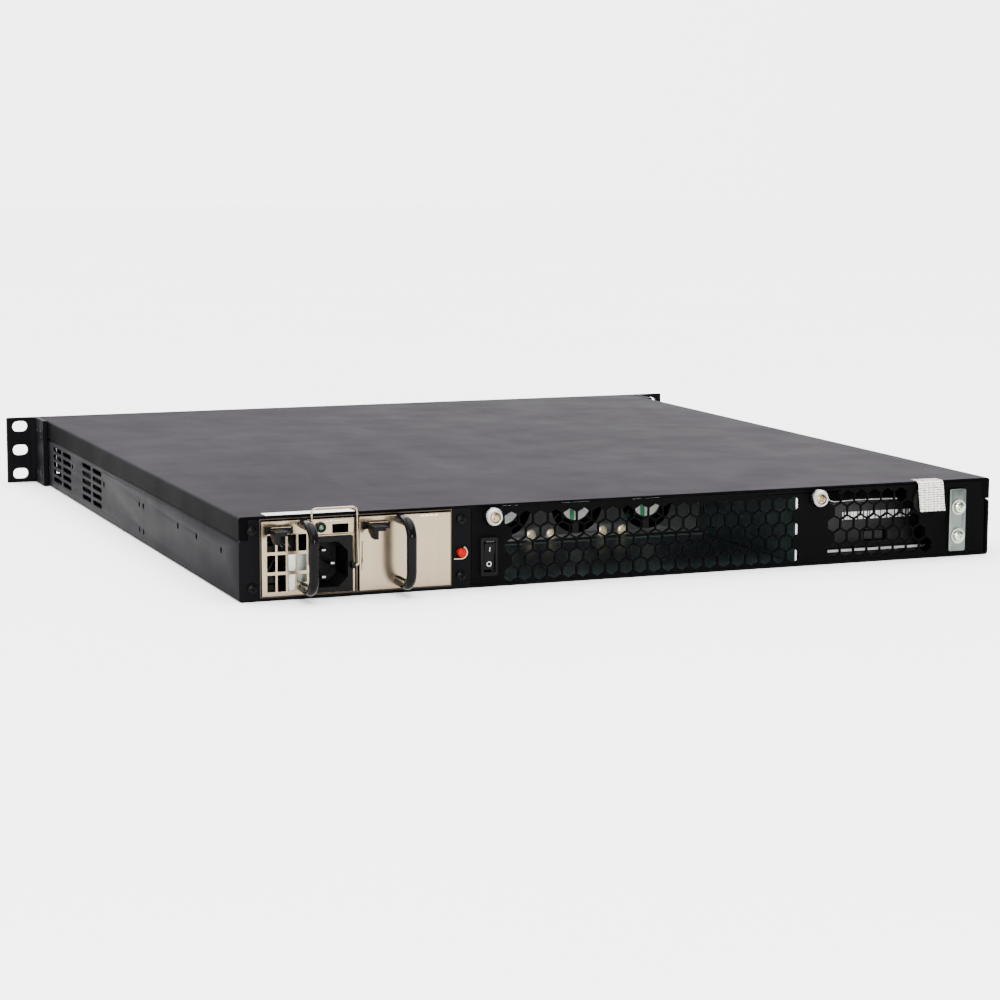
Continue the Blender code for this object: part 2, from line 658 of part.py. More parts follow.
def fan_blade(centre, y, hub, tip, turn):
    """A twisted blade; its sections get flatter towards the tip."""
    sections = ((hub - 1.0, 1.0), ((hub + tip) / 2, 1.5), (tip, 1.9))
    corners = []
    for radius, sweep in sections:
        for along, side in ((0.12, -1), (0.88, 1)):
            for thick in (-0.5, 0.5):
                angle = turn + (side * sweep * 2.2 + thick) / radius
                corners.append((centre[0] + radius * math.cos(angle),
                                y[0] + (y[1] - y[0]) * along,
                                centre[1] + radius * math.sin(angle)))
    faces = [[0, 1, 3, 2], [8, 10, 11, 9]]
    for level in (0, 4):
        ring = [level, level + 1, level + 3, level + 2]
        for a, b in zip(ring, ring[1:] + ring[:1]):
            faces.append([a, b, b + 4, a + 4])
    return corners, faces


def psu_board():
    """The supply's circuit board with a transformer and capacitor block."""
    x = (SUPPLY_X[0] + 3.0, SUPPLY_X[1] - 3.0)
    board = box(x, (REAR - 176.0, REAR - 62.0), (4.6, 6.2))
    transformer = box((x[0] + 4, x[0] + 26), (REAR - 120.0, REAR - 92.0), (6.0, 30.0))
    sink = box((x[1] - 12, x[1] - 4), (REAR - 165.0, REAR - 75.0), (6.0, 34.0))
    part("psu_board", BOARD, [board, transformer, sink])


# ---- inside ----

def fan_wall():
    """A bracket across the chassis with a round opening behind each fan."""
    back = REAR - FAN_WALL_AHEAD
    plate = box((PARTITION_X + 1.5, CAGE_X[0] - 1.0), (back - 1.0, back), (1.5, 42.0))
    foot = box((PARTITION_X + 1.5, CAGE_X[0] - 1.0), (back - 0.5, back + 7.0), (1.5, 2.5))
    openings = [prism(circle((x, FAN_Z), FAN_OPENING, 28), "y", back - 2, back + 1) for x in FAN_X]
    part("fan_wall", PAINT, [plate, foot], [joined(openings)])
    front = back - 1.0 - GAP
    for number, x in enumerate(FAN_X, 1):
        fan(f"fan_frame_{number}", f"fan_rotor_{number}", (x, FAN_Z),
            (front - FAN_DEPTH, front), FAN_SIZE, 7, 18.4, FAN_HUB)


def drive():
    """A hard drive in a pressed tray that stands on the floor."""
    x, y, z = DRIVE_X, DRIVE_Y, DRIVE_Z
    socket = box((x[0] + 32.0, x[0] + 46.0), (y[1] - 4.0, y[1] + 1.0), (z[0] + 3.6, z[0] + 9.6))
    part("hard_drive", ALLOY, [box(x, y, z)], [socket])
    floor, top = SHEET + GAP, z[0] - GAP
    tray_y = (y[0] + 4.0, y[1] + 3.0)
    left = x[0] - GAP
    plate = box((left - 1.0, x[1]), tray_y, (floor, top))
    lip = box((left - 1.0, left), tray_y, (floor, 22.0))
    part("drive_tray", ZINC, [plate, lip])


def mainboard():
    """Circuit board on pillars, with its sockets as plain blocks."""
    x, y = (-205.0, 44.0), (FRONT + 34.0, FRONT + 306.0)
    board = box(x, y, BOARD_Z)
    feet = [turned([(0, 1.5), (3.0, 1.5), (3.0, BOARD_Z[0] + 0.4), (0, BOARD_Z[0] + 0.4)],
                   (across, along), "z", 8)
            for across in (x[0] + 8, -80.0, x[1] - 8) for along in (y[0] + 8, y[1] - 8)]
    top = BOARD_Z[1] - 0.3
    chipset = box((-8.0, 26.0), (FRONT + 90.0, FRONT + 124.0), (top, 18.0))
    power = box((20.0, 40.0), (FRONT + 240.0, FRONT + 292.0), (top, 21.0))
    storage = box((-198.0, -178.0), (FRONT + 262.0, FRONT + 300.0), (top, 17.0))
    part("mainboard", BOARD, [board, joined(feet), joined([chipset, power, storage])])


def heatsink():
    """A finned block over the processor, with its fins along the air flow."""
    x, y = (-132.0, -48.0), (FRONT + 150.0, FRONT + 240.0)
    low, floor, high, fins, thick = BOARD_Z[1] + GAP, BOARD_Z[1] + 5.0, 38.0, 15, 1.4
    pitch = (x[1] - x[0] - thick) / (fins - 1)
    outline = [(x[0], low), (x[1], low), (x[1], high)]
    for i in range(fins - 1, 0, -1):
        right = x[0] + i * pitch
        outline += [(right, high), (right, floor)]
        outline += [(right - pitch + thick, floor), (right - pitch + thick, high)]
    outline += [(x[0], high)]
    part("cpu_heatsink", ALLOY, [prism(outline, "y", *y)])


def memory():
    """Two memory modules in their sockets."""
    y = (FRONT + 128.0, FRONT + 261.0)
    for number, x in enumerate((-30.0, -20.0), 1):
        socket = box((x - 3.2, x + 3.2), (y[0] - 4.0, y[1] + 4.0), (BOARD_Z[1] + GAP, 15.5))
        stick = box((x - 0.7, x + 0.7), y, (14.0, 39.0))
        part(f"memory_module_{number}", BOARD, [socket, stick])


def power_backplane():
    """The upright board that both power modules plug into."""
    y = (REAR - CAGE_DEPTH - 2.2, REAR - CAGE_DEPTH - 0.6)
    board = box(CAGE_X, y, (3.0, 41.0))
    sockets = []
    for x in (SUPPLY_X, FILLER_X):
        sockets.append(box((x[0] + 9.0, x[1] - 9.0), (y[1] - 0.4, REAR - MODULE_DEPTH - 1.0),
                           (5.0, 11.5)))
    part("power_backplane", BOARD, [board, joined(sockets)])


# ---- front ----

def jack_pocket(x, z, size):
    """A pocket for a plug, open towards the front."""
    width, height, depth = size
    return box((x - width / 2, x + width / 2), (FRONT - 2.0, FRONT + depth),
               (z - height / 2, z + height / 2))


def jack_row(low, high, count):
    pitch = (high - low) / count
    return [low + pitch * (i + 0.5) for i in range(count)]


def port_blocks():
    """Cable jacks that look out through windows in the front panel."""
    y = (FRONT + 0.2, FRONT + 26.0)
    stack = (14.6, 30.0)
    pockets = [jack_pocket(x, z, JACK) for x in jack_row(*PORTS_X, 4) for z in stack]
    part("port_block", ALLOY, [box(PORTS_X, y, (9.4, 36.0))], [joined(pockets)])
    pockets = [jack_pocket(x, stack[0], JACK) for x in jack_row(*CONSOLE_X, 2)]
    part("console_block", ALLOY, [box(CONSOLE_X, y, (9.4, 22.0))], [joined(pockets)])
    middle = sum(USB_X) / 2
    pockets = [jack_pocket(middle, z, (13.0, 5.4, 12.0)) for z in (13.4, 21.2)]
    part("usb_block", ALLOY, [box(USB_X, y, (9.4, 25.2))], [joined(pockets)])


def widened(span, by):
    return (span[0] - by, span[1] + by)


def front_panel():
    """The front plate with a window for each block, key and module."""
    y = (FRONT - 1.0, FRONT + PANEL_THICK + 1.0)
    plate = prism(rounded((-HALF, HALF), (0.0, HEIGHT), 0.8, 2), "y", FRONT, FRONT + PANEL_THICK)
    windows = [(DISPLAY_X, DISPLAY_Z), (EXPANSION_X, EXPANSION_Z), (PORTS_X, (9.4, 36.0)),
               (CONSOLE_X, (9.4, 22.0)), (USB_X, (9.4, 25.2))]
    cuts = [box(widened(x, GAP), y, widened(z, GAP)) for x, z in windows]
    cuts += [prism(circle(at, KEY_RADIUS + GAP, 20), "y", *y) for at in KEY_AT.values()]
    cuts += [prism(circle((LAMP_ROW_X, z), 1.5, 12), "y", *y) for z in LAMP_ROW_Z]
    part("front_panel", PAINT, [plate], [joined(cuts)])


def front_controls():
    """Display, keys and status lamps."""
    lens = box(DISPLAY_X, (FRONT + 0.4, FRONT + 4.0), DISPLAY_Z)
    frame = box(widened(DISPLAY_X, 4.0), (FRONT + PANEL_THICK + GAP, FRONT + 10.0),
                widened(DISPLAY_Z, 3.0))
    part("display_module", SMOKED, [frame, lens])
    for name, at in KEY_AT.items():
        back = FRONT + PANEL_THICK + 2.4
        profile = [(0, FRONT - 1.4), (KEY_RADIUS - 0.5, FRONT - 1.4), (KEY_RADIUS, FRONT - 0.9),
                   (KEY_RADIUS, back), (KEY_RADIUS + 1.2, back), (KEY_RADIUS + 1.2, back + 1.2),
                   (0, back + 1.2)]
        part(name, PLASTIC, [turned(profile, at, "y", 20)], origin=(at[0], FRONT, at[1]),
             smooth=True)
    back = (FRONT + PANEL_THICK + GAP, FRONT + 9.0)
    bar = box((LAMP_ROW_X - 3.0, LAMP_ROW_X + 3.0), back, (LAMP_ROW_Z[0] - 3, LAMP_ROW_Z[-1] + 3))
    pins = [turned([(0, FRONT - 0.3), (0.8, FRONT - 0.2), (1.2, FRONT + 0.2), (1.2, back[0] + 1),
                    (0, back[0] + 1)], (LAMP_ROW_X, z), "y", 12) for z in LAMP_ROW_Z]
    part("status_lamp_pipe", SMOKED, [bar, joined(pins)])


def expansion_module():
    """A slide-in port module: faceplate with a tray, its board and an optics cage."""
    x, z = widened(EXPANSION_X, -GAP), widened(EXPANSION_Z, -GAP)
    back = FRONT + EXPANSION_DEPTH
    face = prism(rounded(x, z, 0.6, 2), "y", FRONT, FRONT + 2.0)
    floor = box((x[0] + 0.4, x[1] - 0.4), (FRONT + 1.0, back), (z[0] + 0.4, z[0] + 1.4))
    sides = [box(span, (FRONT + 1.0, back), (z[0] + 0.8, z[0] + 12.0))
             for span in ((x[0] + 0.4, x[0] + 1.4), (x[1] - 1.4, x[1] - 0.4))]
    cage_x, cage_z = (84.0, 172.0), (9.6, 21.4)
    cuts = [box(widened(cage_x, GAP), (FRONT - 1, FRONT + 3), widened(cage_z, GAP))]
    for i in range(14):
        left = cage_x[0] + 2.0 + i * 6.1
        cuts.append(box((left, left + 3.4), (FRONT - 1, FRONT + 3), (27.0, 34.0)))
    cuts += [prism(circle((at, 21.7), 2.1, 12), "y", FRONT - 1, FRONT + 3)
             for at in MODULE_SCREW_X]
    part("expansion_tray", PAINT, [face, floor, *sides], [joined(cuts)],
         origin=(sum(x) / 2, FRONT, sum(z) / 2))
    board = box((x[0] + 2.0, x[1] - 2.0), (FRONT + 12.0, back - 4.0), (7.2, 8.8))
    sink = box((104.0, 144.0), (FRONT + 82.0, FRONT + 122.0), (8.6, 24.0))
    plug = box((88.0, 168.0), (back - 14.0, back - 6.0), (8.6, 16.0))
    part("expansion_board", BOARD, [board, joined([sink, plug])])
    pockets = [jack_pocket(at, sum(cage_z) / 2, OPTIC) for at in jack_row(*cage_x, 5)]
    part("optics_cage", ALLOY, [box(cage_x, (FRONT + 0.2, FRONT + 56.0), cage_z)],
         [joined(pockets)])
    for number, at in enumerate(MODULE_SCREW_X, 1):
        thumbscrew(f"module_thumbscrew_{number}", (at, 21.7), FRONT, -1,
                   reach=FRONT_REACH, shank=6.0, radius=4.2)


def power_modules():
    module_shell("psu_case", SUPPLY_X, supply_face_holes())
    module_shell("filler_module", FILLER_X, [])
    for name, x in (("psu_handle", SUPPLY_X), ("filler_handle", FILLER_X)):
        handle(name, x[1] - HANDLE_SETBACK)
    for name, x in (("psu_latch", SUPPLY_X), ("filler_latch", FILLER_X)):
        latch(name, x[1])
    inlet()
    lamp_lens()
    cord_bail()
    psu_board()
    fan("psu_fan_frame", "psu_fan_rotor", (185.0, 21.6), (REAR - 58.0, REAR - 30.0), 36.0, 5,
        16.4, SUPPLY_FAN_HUB)


def main():
    clear_scene()
    base_tray()
    top_cover()
    front_panel()
    rack_ear("rack_ear_right", 1)
    rack_ear("rack_ear_left", -1)
    rear_vent_plate()
    hole_plug()
    partition_wall()
    for number, at in enumerate(THUMB_AT, 1):
        thumbscrew(f"cover_thumbscrew_{number}", at, REAR, 1)
    alarm_button()
    power_switch()
    ground_lug()
    psu_cage()
    power_modules()
    power_backplane()
    fan_wall()
    drive()
    mainboard()
    heatsink()
    memory()
    port_blocks()
    front_controls()
    expansion_module()


main()
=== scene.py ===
"""Looks for the rack firewall appliance: materials, fine pieces, light and camera.

Lengths in this script are millimetres unless a name says otherwise; MM turns
them into metres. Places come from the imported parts' own boxes.
"""
import json
import math
import random

import bmesh
import bpy
from mathutils import Matrix, Vector


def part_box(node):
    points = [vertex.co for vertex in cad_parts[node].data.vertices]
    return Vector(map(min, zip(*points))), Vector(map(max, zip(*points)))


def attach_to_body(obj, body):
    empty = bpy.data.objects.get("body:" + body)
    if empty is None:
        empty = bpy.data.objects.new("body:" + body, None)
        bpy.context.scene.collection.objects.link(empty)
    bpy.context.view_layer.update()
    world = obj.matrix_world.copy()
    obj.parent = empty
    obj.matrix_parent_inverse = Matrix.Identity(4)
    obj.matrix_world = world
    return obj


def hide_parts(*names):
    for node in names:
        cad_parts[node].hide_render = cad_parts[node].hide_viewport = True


MM = 0.001
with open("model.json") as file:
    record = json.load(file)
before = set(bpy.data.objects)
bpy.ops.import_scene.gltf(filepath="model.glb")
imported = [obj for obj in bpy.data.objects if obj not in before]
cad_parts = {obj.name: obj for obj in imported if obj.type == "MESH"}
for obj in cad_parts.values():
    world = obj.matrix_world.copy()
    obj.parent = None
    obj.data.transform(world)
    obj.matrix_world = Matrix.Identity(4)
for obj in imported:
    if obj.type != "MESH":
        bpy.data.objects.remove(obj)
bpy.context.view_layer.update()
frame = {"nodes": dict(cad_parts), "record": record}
nodes = frame["nodes"]
body_of_node = {node: body for body, members in
                frame["record"]["behaviour"]["bodies"].items() for node in members}
slot_of_node = {entry["node"]: entry["material_slot"] for entry in frame["record"]["subparts"]}
rng = random.Random(7)


def span(node):
    """A part's extent along x, y and z."""
    low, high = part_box(node)
    return [(a / MM, b / MM) for a, b in zip(low, high)]


def mid(pair):
    """The middle of a low and high value."""
    return (pair[0] + pair[1]) / 2


WALL_X = span("base_tray")[0]
REAR = span("rear_vent_plate")[1][1]
FRONT = span("front_panel")[1][0]
TOP = span("top_cover")[2][1]
FANS = (1, 2, 3)


def add_object(name, data):
    """A new object in the scene's own collection."""
    obj = bpy.data.objects.new(name, data)
    bpy.context.scene.collection.objects.link(obj)
    return obj


# ---- material nodes ----

def fill_ramp(ramp, stops):
    """Stops are (position, colour or grey)."""
    elements = ramp.color_ramp.elements
    while len(elements) < len(stops):
        elements.new(0.5)
    for element, (position, colour) in zip(elements, stops):
        element.position = position
        element.color = (*(colour if isinstance(colour, tuple) else (colour,) * 3), 1.0)


class Look:
    """One procedural material on a Principled shader."""

    def __init__(self, name, roughness=0.5, metallic=0.0, **fixed):
        self.material = bpy.data.materials.new(name)
        self.material.use_nodes = True
        self.tree = self.material.node_tree
        self.shader = self.tree.nodes["Principled BSDF"]
        self.set("Roughness", roughness)
        self.set("Metallic", metallic)
        for key, value in fixed.items():
            self.set(key.replace("_", " "), value)
        self.place = self.tree.nodes.new("ShaderNodeTexCoord").outputs["Object"]
        self.relief = None

    def set(self, key, value):
        self.shader.inputs[key].default_value = value

    def link(self, output, socket):
        self.tree.links.new(output, socket)

    def node(self, kind, **values):
        made = self.tree.nodes.new(kind)
        for key, value in values.items():
            setattr(made, key, value)
        return made

    def mapped(self, stretch):
        mapping = self.node("ShaderNodeMapping")
        mapping.inputs["Scale"].default_value = stretch
        self.link(self.place, mapping.inputs["Vector"])
        return mapping.outputs["Vector"]

    def noise(self, scale, detail=3.0, stretch=(1, 1, 1), roughness=0.55):
        made = self.node("ShaderNodeTexNoise")
        made.inputs["Scale"].default_value = scale
        made.inputs["Detail"].default_value = detail
        made.inputs["Roughness"].default_value = roughness
        self.link(self.mapped(stretch), made.inputs["Vector"])
        return made.outputs["Fac"]

    def cells(self, scale, stretch=(1, 1, 1), feature="F1"):
        made = self.node("ShaderNodeTexVoronoi", feature=feature)
        made.inputs["Scale"].default_value = scale
        self.link(self.mapped(stretch), made.inputs["Vector"])
        return made.outputs["Distance"]

    def ramp(self, value, stops):
        made = self.node("ShaderNodeValToRGB")
        fill_ramp(made, stops)
        self.link(value, made.inputs["Fac"])
        return made.outputs["Color"]

    def arithmetic(self, operation, value, other=0.0):
        made = self.node("ShaderNodeMath", operation=operation)
        self.link(value, made.inputs[0])
        made.inputs[1].default_value = other
        return made.outputs[0]

    def axis(self, vector, name):
        split = self.node("ShaderNodeSeparateXYZ")
        self.link(vector, split.inputs["Vector"])
        return split.outputs[name]

    def mix(self, factor, first, second, blend="MIX"):
        made = self.node("ShaderNodeMix", data_type="RGBA", blend_type=blend)
        for socket, value in ((0, factor), (6, first), (7, second)):
            if isinstance(value, bpy.types.NodeSocket):
                self.link(value, made.inputs[socket])
            elif isinstance(value, (int, float)) and socket == 0:
                made.inputs[socket].default_value = value
            else:
                made.inputs[socket].default_value = (*value, 1.0)
        return made.outputs[2]

    def facing(self, axis, stops):
        """A grey by how far the surface faces along an axis."""
        normal = self.node("ShaderNodeNewGeometry").outputs["Normal"]
        return self.ramp(self.axis(normal, axis), stops)

    def colour(self, output):
        self.link(output, self.shader.inputs["Base Color"])

    def rough(self, output):
        self.link(output, self.shader.inputs["Roughness"])

    def bump(self, height, strength, distance):
        made = self.node("ShaderNodeBump")
        made.inputs["Strength"].default_value = strength
        made.inputs["Distance"].default_value = distance
        self.link(height, made.inputs["Height"])
        if self.relief:
            self.link(self.relief, made.inputs["Normal"])
        self.relief = made.outputs["Normal"]
        self.link(self.relief, self.shader.inputs["Normal"])


def blended(name, dark, light, roughness, mottle, grain, relief, metallic=0.0, **fixed):
    """Colour and gloss that vary softly, with a fine grain: the base of most looks."""
    look = Look(name, metallic=metallic, **fixed)
    patch = look.noise(mottle, 4.0)
    look.colour(look.ramp(patch, [(0.32, dark), (0.68, light)]))
    fine = look.noise(grain, 2.0)
    smooth, dull = roughness
    look.rough(look.ramp(look.mix(0.5, patch, fine), [(0.3, smooth), (0.7, dull)]))
    look.bump(fine, relief, 0.00006)
    return look


def powder_coat(name, dark, light, roughness, wear_and_sheen, gleam, upright=1.0):
    """Satin powder coat: orange-peel grain, faint rubs that are partly painted sheen streaks, and
    specks of dust.

    Upright faces are darker by a factor, and rear ones a little more: painted shade by how each
    face is turned.
    """
    look = Look(name, Specular_IOR_Level=gleam)
    patch = look.noise(9.0, 5.0)
    streaks = look.noise(14.0, 6.0, (1.0, 0.22, 1.0), 0.7)
    speck = look.cells(420.0)
    base = look.ramp(patch, [(0.3, dark), (0.72, light)])
    # painted sheen: the rub streaks lighten the coat, partly real rubs and partly sheen
    rubs_and_sheen = look.ramp(streaks, [(0.60, 0.0), (0.74, wear_and_sheen)])
    base = look.mix(rubs_and_sheen, base, tuple(3.0 * c for c in light))
    dust = look.ramp(speck, [(0.03, wear_and_sheen * 1.2), (0.07, 0.0)])
    base = look.mix(dust, base, tuple(7.0 * c for c in light))
    # painted shade: upright faces darkened by a factor, rear-facing faces to 0.55
    flat = look.facing("Z", [(0.3, upright), (0.7, 1.0)])
    rear = look.facing("Y", [(0.3, 1.0), (0.7, 0.55)])
    base = look.mix(1.0, base, flat, "MULTIPLY")
    look.colour(look.mix(1.0, base, rear, "MULTIPLY"))
    gloss = look.mix(0.45, look.noise(26.0, 5.0), streaks)
    look.rough(look.ramp(gloss, [(0.34, roughness[0]), (0.66, roughness[1])]))
    look.bump(look.noise(1500.0, 2.0), 0.22, 0.00008)
    return look


def brushed(name, dark, light, roughness, stretch, mottle=18.0):
    """Plated sheet with fine rolling lines."""
    look = Look(name, metallic=1.0)
    patch = look.noise(mottle, 4.0)
    lines = look.noise(260.0, 3.0, stretch, 0.6)
    look.colour(look.ramp(look.mix(0.35, patch, lines), [(0.3, dark), (0.7, light)]))
    look.rough(look.ramp(look.mix(0.5, patch, lines), [(0.3, roughness[0]), (0.7, roughness[1])]))
    look.bump(lines, 0.10, 0.00004)
    return look


def board_look():
    """Green solder mask over traces and vias."""
    look = Look("green_board")
    traces = look.cells(210.0, (1.0, 0.35, 1.0), "DISTANCE_TO_EDGE")
    copper = look.ramp(traces, [(0.02, 1.0), (0.05, 0.0)])
    vias = look.ramp(look.cells(620.0), [(0.05, 1.0), (0.09, 0.0)])
    mask = look.ramp(look.noise(30.0), [(0.3, (0.004, 0.055, 0.022)),
                                        (0.7, (0.008, 0.09, 0.035))])
    traced = look.mix(copper, mask, (0.02, 0.17, 0.06))
    look.colour(look.mix(vias, traced, (0.42, 0.36, 0.2)))
    look.rough(look.ramp(traces, [(0.0, 0.28), (0.2, 0.42)]))
    look.bump(copper, 0.2, 0.00005)
    return look


def label_look(name, paper, ink, bars, rows):
    """A plain label with generic bars and dashes in place of print; no rows means bars."""
    look = Look(name, roughness=0.45)
    strip = look.noise(bars, 1.0, (1.0, 0.0, 0.0), 0.3)
    dashes = look.noise(bars * 1.6, 1.0, (1.0, 0.0, 0.6), 0.4)
    wave = look.node("ShaderNodeTexWave", bands_direction="Z", wave_profile="SIN")
    wave.inputs["Scale"].default_value = rows
    look.link(look.place, wave.inputs["Vector"])
    line = look.ramp(wave.outputs["Fac"], [(0.62, 0.0), (0.68, 1.0)])
    if rows:
        mark = look.ramp(look.mix(0.4, strip, dashes), [(0.46, 0.0), (0.49, 1.0)])
        print_area = look.mix(1.0, line, mark, "MULTIPLY")
    else:
        print_area = look.ramp(strip, [(0.50, 0.0), (0.53, 1.0)])
    bright = tuple(c * 1.06 for c in paper)
    tone = look.ramp(look.noise(60.0), [(0.3, paper), (0.7, bright)])
    look.colour(look.mix(print_area, tone, ink))
    look.bump(look.noise(700.0), 0.12, 0.00005)
    return look


def striped_disc(name, ground, stripe, centre_x, offset, half):
    """A hub label: pale with one upright coloured band beside its middle."""
    look = Look(name, roughness=0.4)
    reach = 10.0
    moved = look.arithmetic("SUBTRACT", look.axis(look.place, "X"), (centre_x + offset) * MM)
    scaled = look.arithmetic("MULTIPLY", look.arithmetic("ABSOLUTE", moved), 1.0 / (reach * MM))
    band = look.ramp(scaled, [(half / reach, 1.0), (half / reach + 0.02, 0.0)])
    tone = look.ramp(look.noise(200.0), [(0.3, ground), (0.7, tuple(1.05 * c for c in ground))])
    specks = look.ramp(look.cells(520.0), [(0.16, 0.8), (0.2, 0.0)])
    look.colour(look.mix(band, look.mix(specks, tone, stripe), stripe))
    return look


def glass_look():
    """Dark tinted display window with a faint dot grid behind it."""
    look = Look("tinted_window", roughness=0.06, Specular_IOR_Level=0.08)
    grid = look.cells(900.0)
    look.colour(look.ramp(grid, [(0.2, (0.006, 0.012, 0.02)), (0.6, (0.012, 0.022, 0.032))]))
    look.rough(look.ramp(look.noise(40.0), [(0.3, 0.05), (0.7, 0.12)]))
    return look


def make_looks():
    """Tones are linear, dark then light; a pair after them is the roughness range."""
    looks = {
        "paint": powder_coat("black_powder_coat", (0.0022, 0.0022, 0.003),
            (0.0036, 0.0036, 0.0047), (0.5, 0.62), 0.12, 0.03),
        # rear plate: a darker copy of the black coat, painted shade
        "shaded_rear_paint": powder_coat("rear_coat_painted_shade", (0.0012, 0.0013, 0.0013),
            (0.002, 0.0022, 0.0022), (0.5, 0.62), 0.08, 0.02),
        # lid: a lighter copy of the black coat, painted sheen on the top; its upright faces are
        # taken back down to 0.17 as painted shade
        "lid": powder_coat("lid_coat_painted_sheen", (0.0132, 0.0117, 0.0142), (0.0182, 0.0162, 0.0195),
            (0.52, 0.64), 0.16, 0.006, 0.17),
        "nickel": brushed("nickel_sheet", (0.225, 0.178, 0.118), (0.315, 0.255, 0.172),
            (0.15, 0.24), (1.0, 1.0, 0.06)),
        # cage: a darker copy of the nickel, painted shade in the gaps around the modules
        "cage": brushed("shaded_nickel", (0.032, 0.027, 0.02), (0.055, 0.047, 0.035),
            (0.25, 0.35), (1.0, 0.06, 1.0)),
        "steel": blended("bright_steel", (0.2, 0.195, 0.18), (0.36, 0.35, 0.33), (0.12, 0.22),
            60.0, 700.0, 0.08, 1.0),
        "zinc": brushed("dull_zinc", (0.09, 0.106, 0.096), (0.142, 0.162, 0.148), (0.3, 0.42),
            (1.0, 1.0, 0.1), 90.0),
        "liner": blended("teal_passivate", (0.04, 0.062, 0.064), (0.068, 0.096, 0.099),
            (0.34, 0.5), 30.0, 500.0, 0.1, 0.6),
        "passivate": blended("green_passivate", (0.34, 0.42, 0.32), (0.5, 0.57, 0.45),
            (0.2, 0.34), 160.0, 900.0, 0.1, 1.0),
        "brass": blended("yellow_passivate", (0.2, 0.155, 0.085), (0.34, 0.27, 0.16),
            (0.22, 0.36), 200.0, 900.0, 0.1, 1.0),
        "pale_brass": blended("pale_passivate", (0.5, 0.43, 0.29), (0.68, 0.6, 0.43), (0.3, 0.42),
            200.0, 900.0, 0.1, 0.35),
        "alloy": brushed("mill_aluminium", (0.3, 0.3, 0.31), (0.42, 0.42, 0.43), (0.26, 0.4),
            (1.0, 0.05, 1.0)),
        "wall": blended("grey_bracket", (0.007, 0.0085, 0.008), (0.013, 0.015, 0.014),
            (0.4, 0.55), 40.0, 900.0, 0.2, 0.2),
        "bare": blended("bare_sheared_edge", (0.6, 0.61, 0.58), (0.8, 0.8, 0.77), (0.3, 0.45),
            300.0, 900.0, 0.1, 0.2),
        "cast": blended("dark_casting", (0.0012, 0.0014, 0.0016), (0.0026, 0.0029, 0.0031),
            (0.4, 0.55), 60.0, 900.0, 0.3, 0.3),
        "plastic": blended("black_plastic", (0.0011, 0.0011, 0.0012), (0.0021, 0.0021, 0.0022),
            (0.26, 0.38), 50.0, 1700.0, 0.3, Specular_IOR_Level=0.06),
        "dull_plastic": blended("dull_plastic", (0.003, 0.003, 0.0032), (0.0055, 0.0055, 0.0058),
            (0.5, 0.62), 50.0, 1700.0, 0.3, Specular_IOR_Level=0.04),
        "gloss": blended("black_enamel", (0.0016, 0.0016, 0.0018), (0.0028, 0.0028, 0.003),
            (0.09, 0.16), 40.0, 500.0, 0.04, Specular_IOR_Level=0.05),
        "fan": blended("fan_plastic", (0.004, 0.0042, 0.0043), (0.0075, 0.0078, 0.008),
            (0.4, 0.55), 70.0, 1500.0, 0.25, Specular_IOR_Level=0.25),
        "red": blended("red_plastic", (0.2, 0.0005, 0.0008), (0.28, 0.0008, 0.001), (0.3, 0.42),
            300.0, 1500.0, 0.05, Specular_IOR_Level=0.04),
        "white": blended("white_nylon", (0.52, 0.54, 0.48), (0.68, 0.69, 0.62), (0.4, 0.55), 90.0,
            900.0, 0.15),
        "pale": blended("pale_film", (0.34, 0.4, 0.36), (0.48, 0.54, 0.49), (0.25, 0.4), 70.0,
            600.0, 0.1),
        "green_lens": blended("green_lens", (0.003, 0.045, 0.016), (0.006, 0.08, 0.03),
            (0.08, 0.16), 300.0, 600.0, 0.05, Coat_Weight=0.5),
        "clear_lens": blended("clear_lens", (0.2, 0.21, 0.2), (0.3, 0.31, 0.3), (0.1, 0.2), 300.0,
            600.0, 0.05, Coat_Weight=0.5),
        "board": board_look(),
        "chip": blended("chip_epoxy", (0.004, 0.004, 0.0045), (0.008, 0.008, 0.0085), (0.45, 0.6),
            120.0, 1600.0, 0.2),
        "strip": blended("blank_silver_label", (0.24, 0.24, 0.25), (0.36, 0.36, 0.38),
            (0.12, 0.3), 30.0, 260.0, 0.12, 0.35),
        "paper": label_look("paper_label", (0.56, 0.54, 0.48), (0.02, 0.02, 0.02), 900.0, 240.0),
        "barcode": label_look("drive_label", (0.75, 0.75, 0.73), (0.02, 0.02, 0.02), 800.0, 0.0),
        "mark": blended("white_print", (0.45, 0.45, 0.44), (0.55, 0.55, 0.54), (0.45, 0.6), 300.0,
            900.0, 0.1),
        "window": glass_look(),
        "white_wire": blended("white_wire", (0.3, 0.31, 0.3), (0.42, 0.43, 0.42), (0.35, 0.5),
            100.0, 900.0, 0.1),
        "black_wire": blended("black_wire", (0.004, 0.004, 0.004), (0.008, 0.008, 0.008),
            (0.35, 0.5), 100.0, 900.0, 0.1),
    }
    for number in FANS:
        centre = mid(span(f"fan_frame_{number}")[0])
        looks[f"hub_{number}"] = striped_disc(f"hub_label_{number}", (0.50, 0.52, 0.49),
                                              (0.015, 0.20, 0.08), centre, 2.4, 1.3)
    return {name: look.material for name, look in looks.items()}


looks = make_looks()
SLOT_LOOK = {"black_paint": "paint", "nickel": "nickel", "bright_steel": "steel",
             "zinc": "zinc", "black_plastic": "plastic", "fan_plastic": "fan",
             "red_plastic": "red", "circuit_board": "board", "aluminium": "alloy",
             "smoked_plastic": "window"}


# ---- shapes ----

def circle(centre, radius, count, turn=0.0):
    return [(centre[0] + radius * math.cos(turn + math.tau * i / count),
             centre[1] + radius * math.sin(turn + math.tau * i / count)) for i in range(count)]


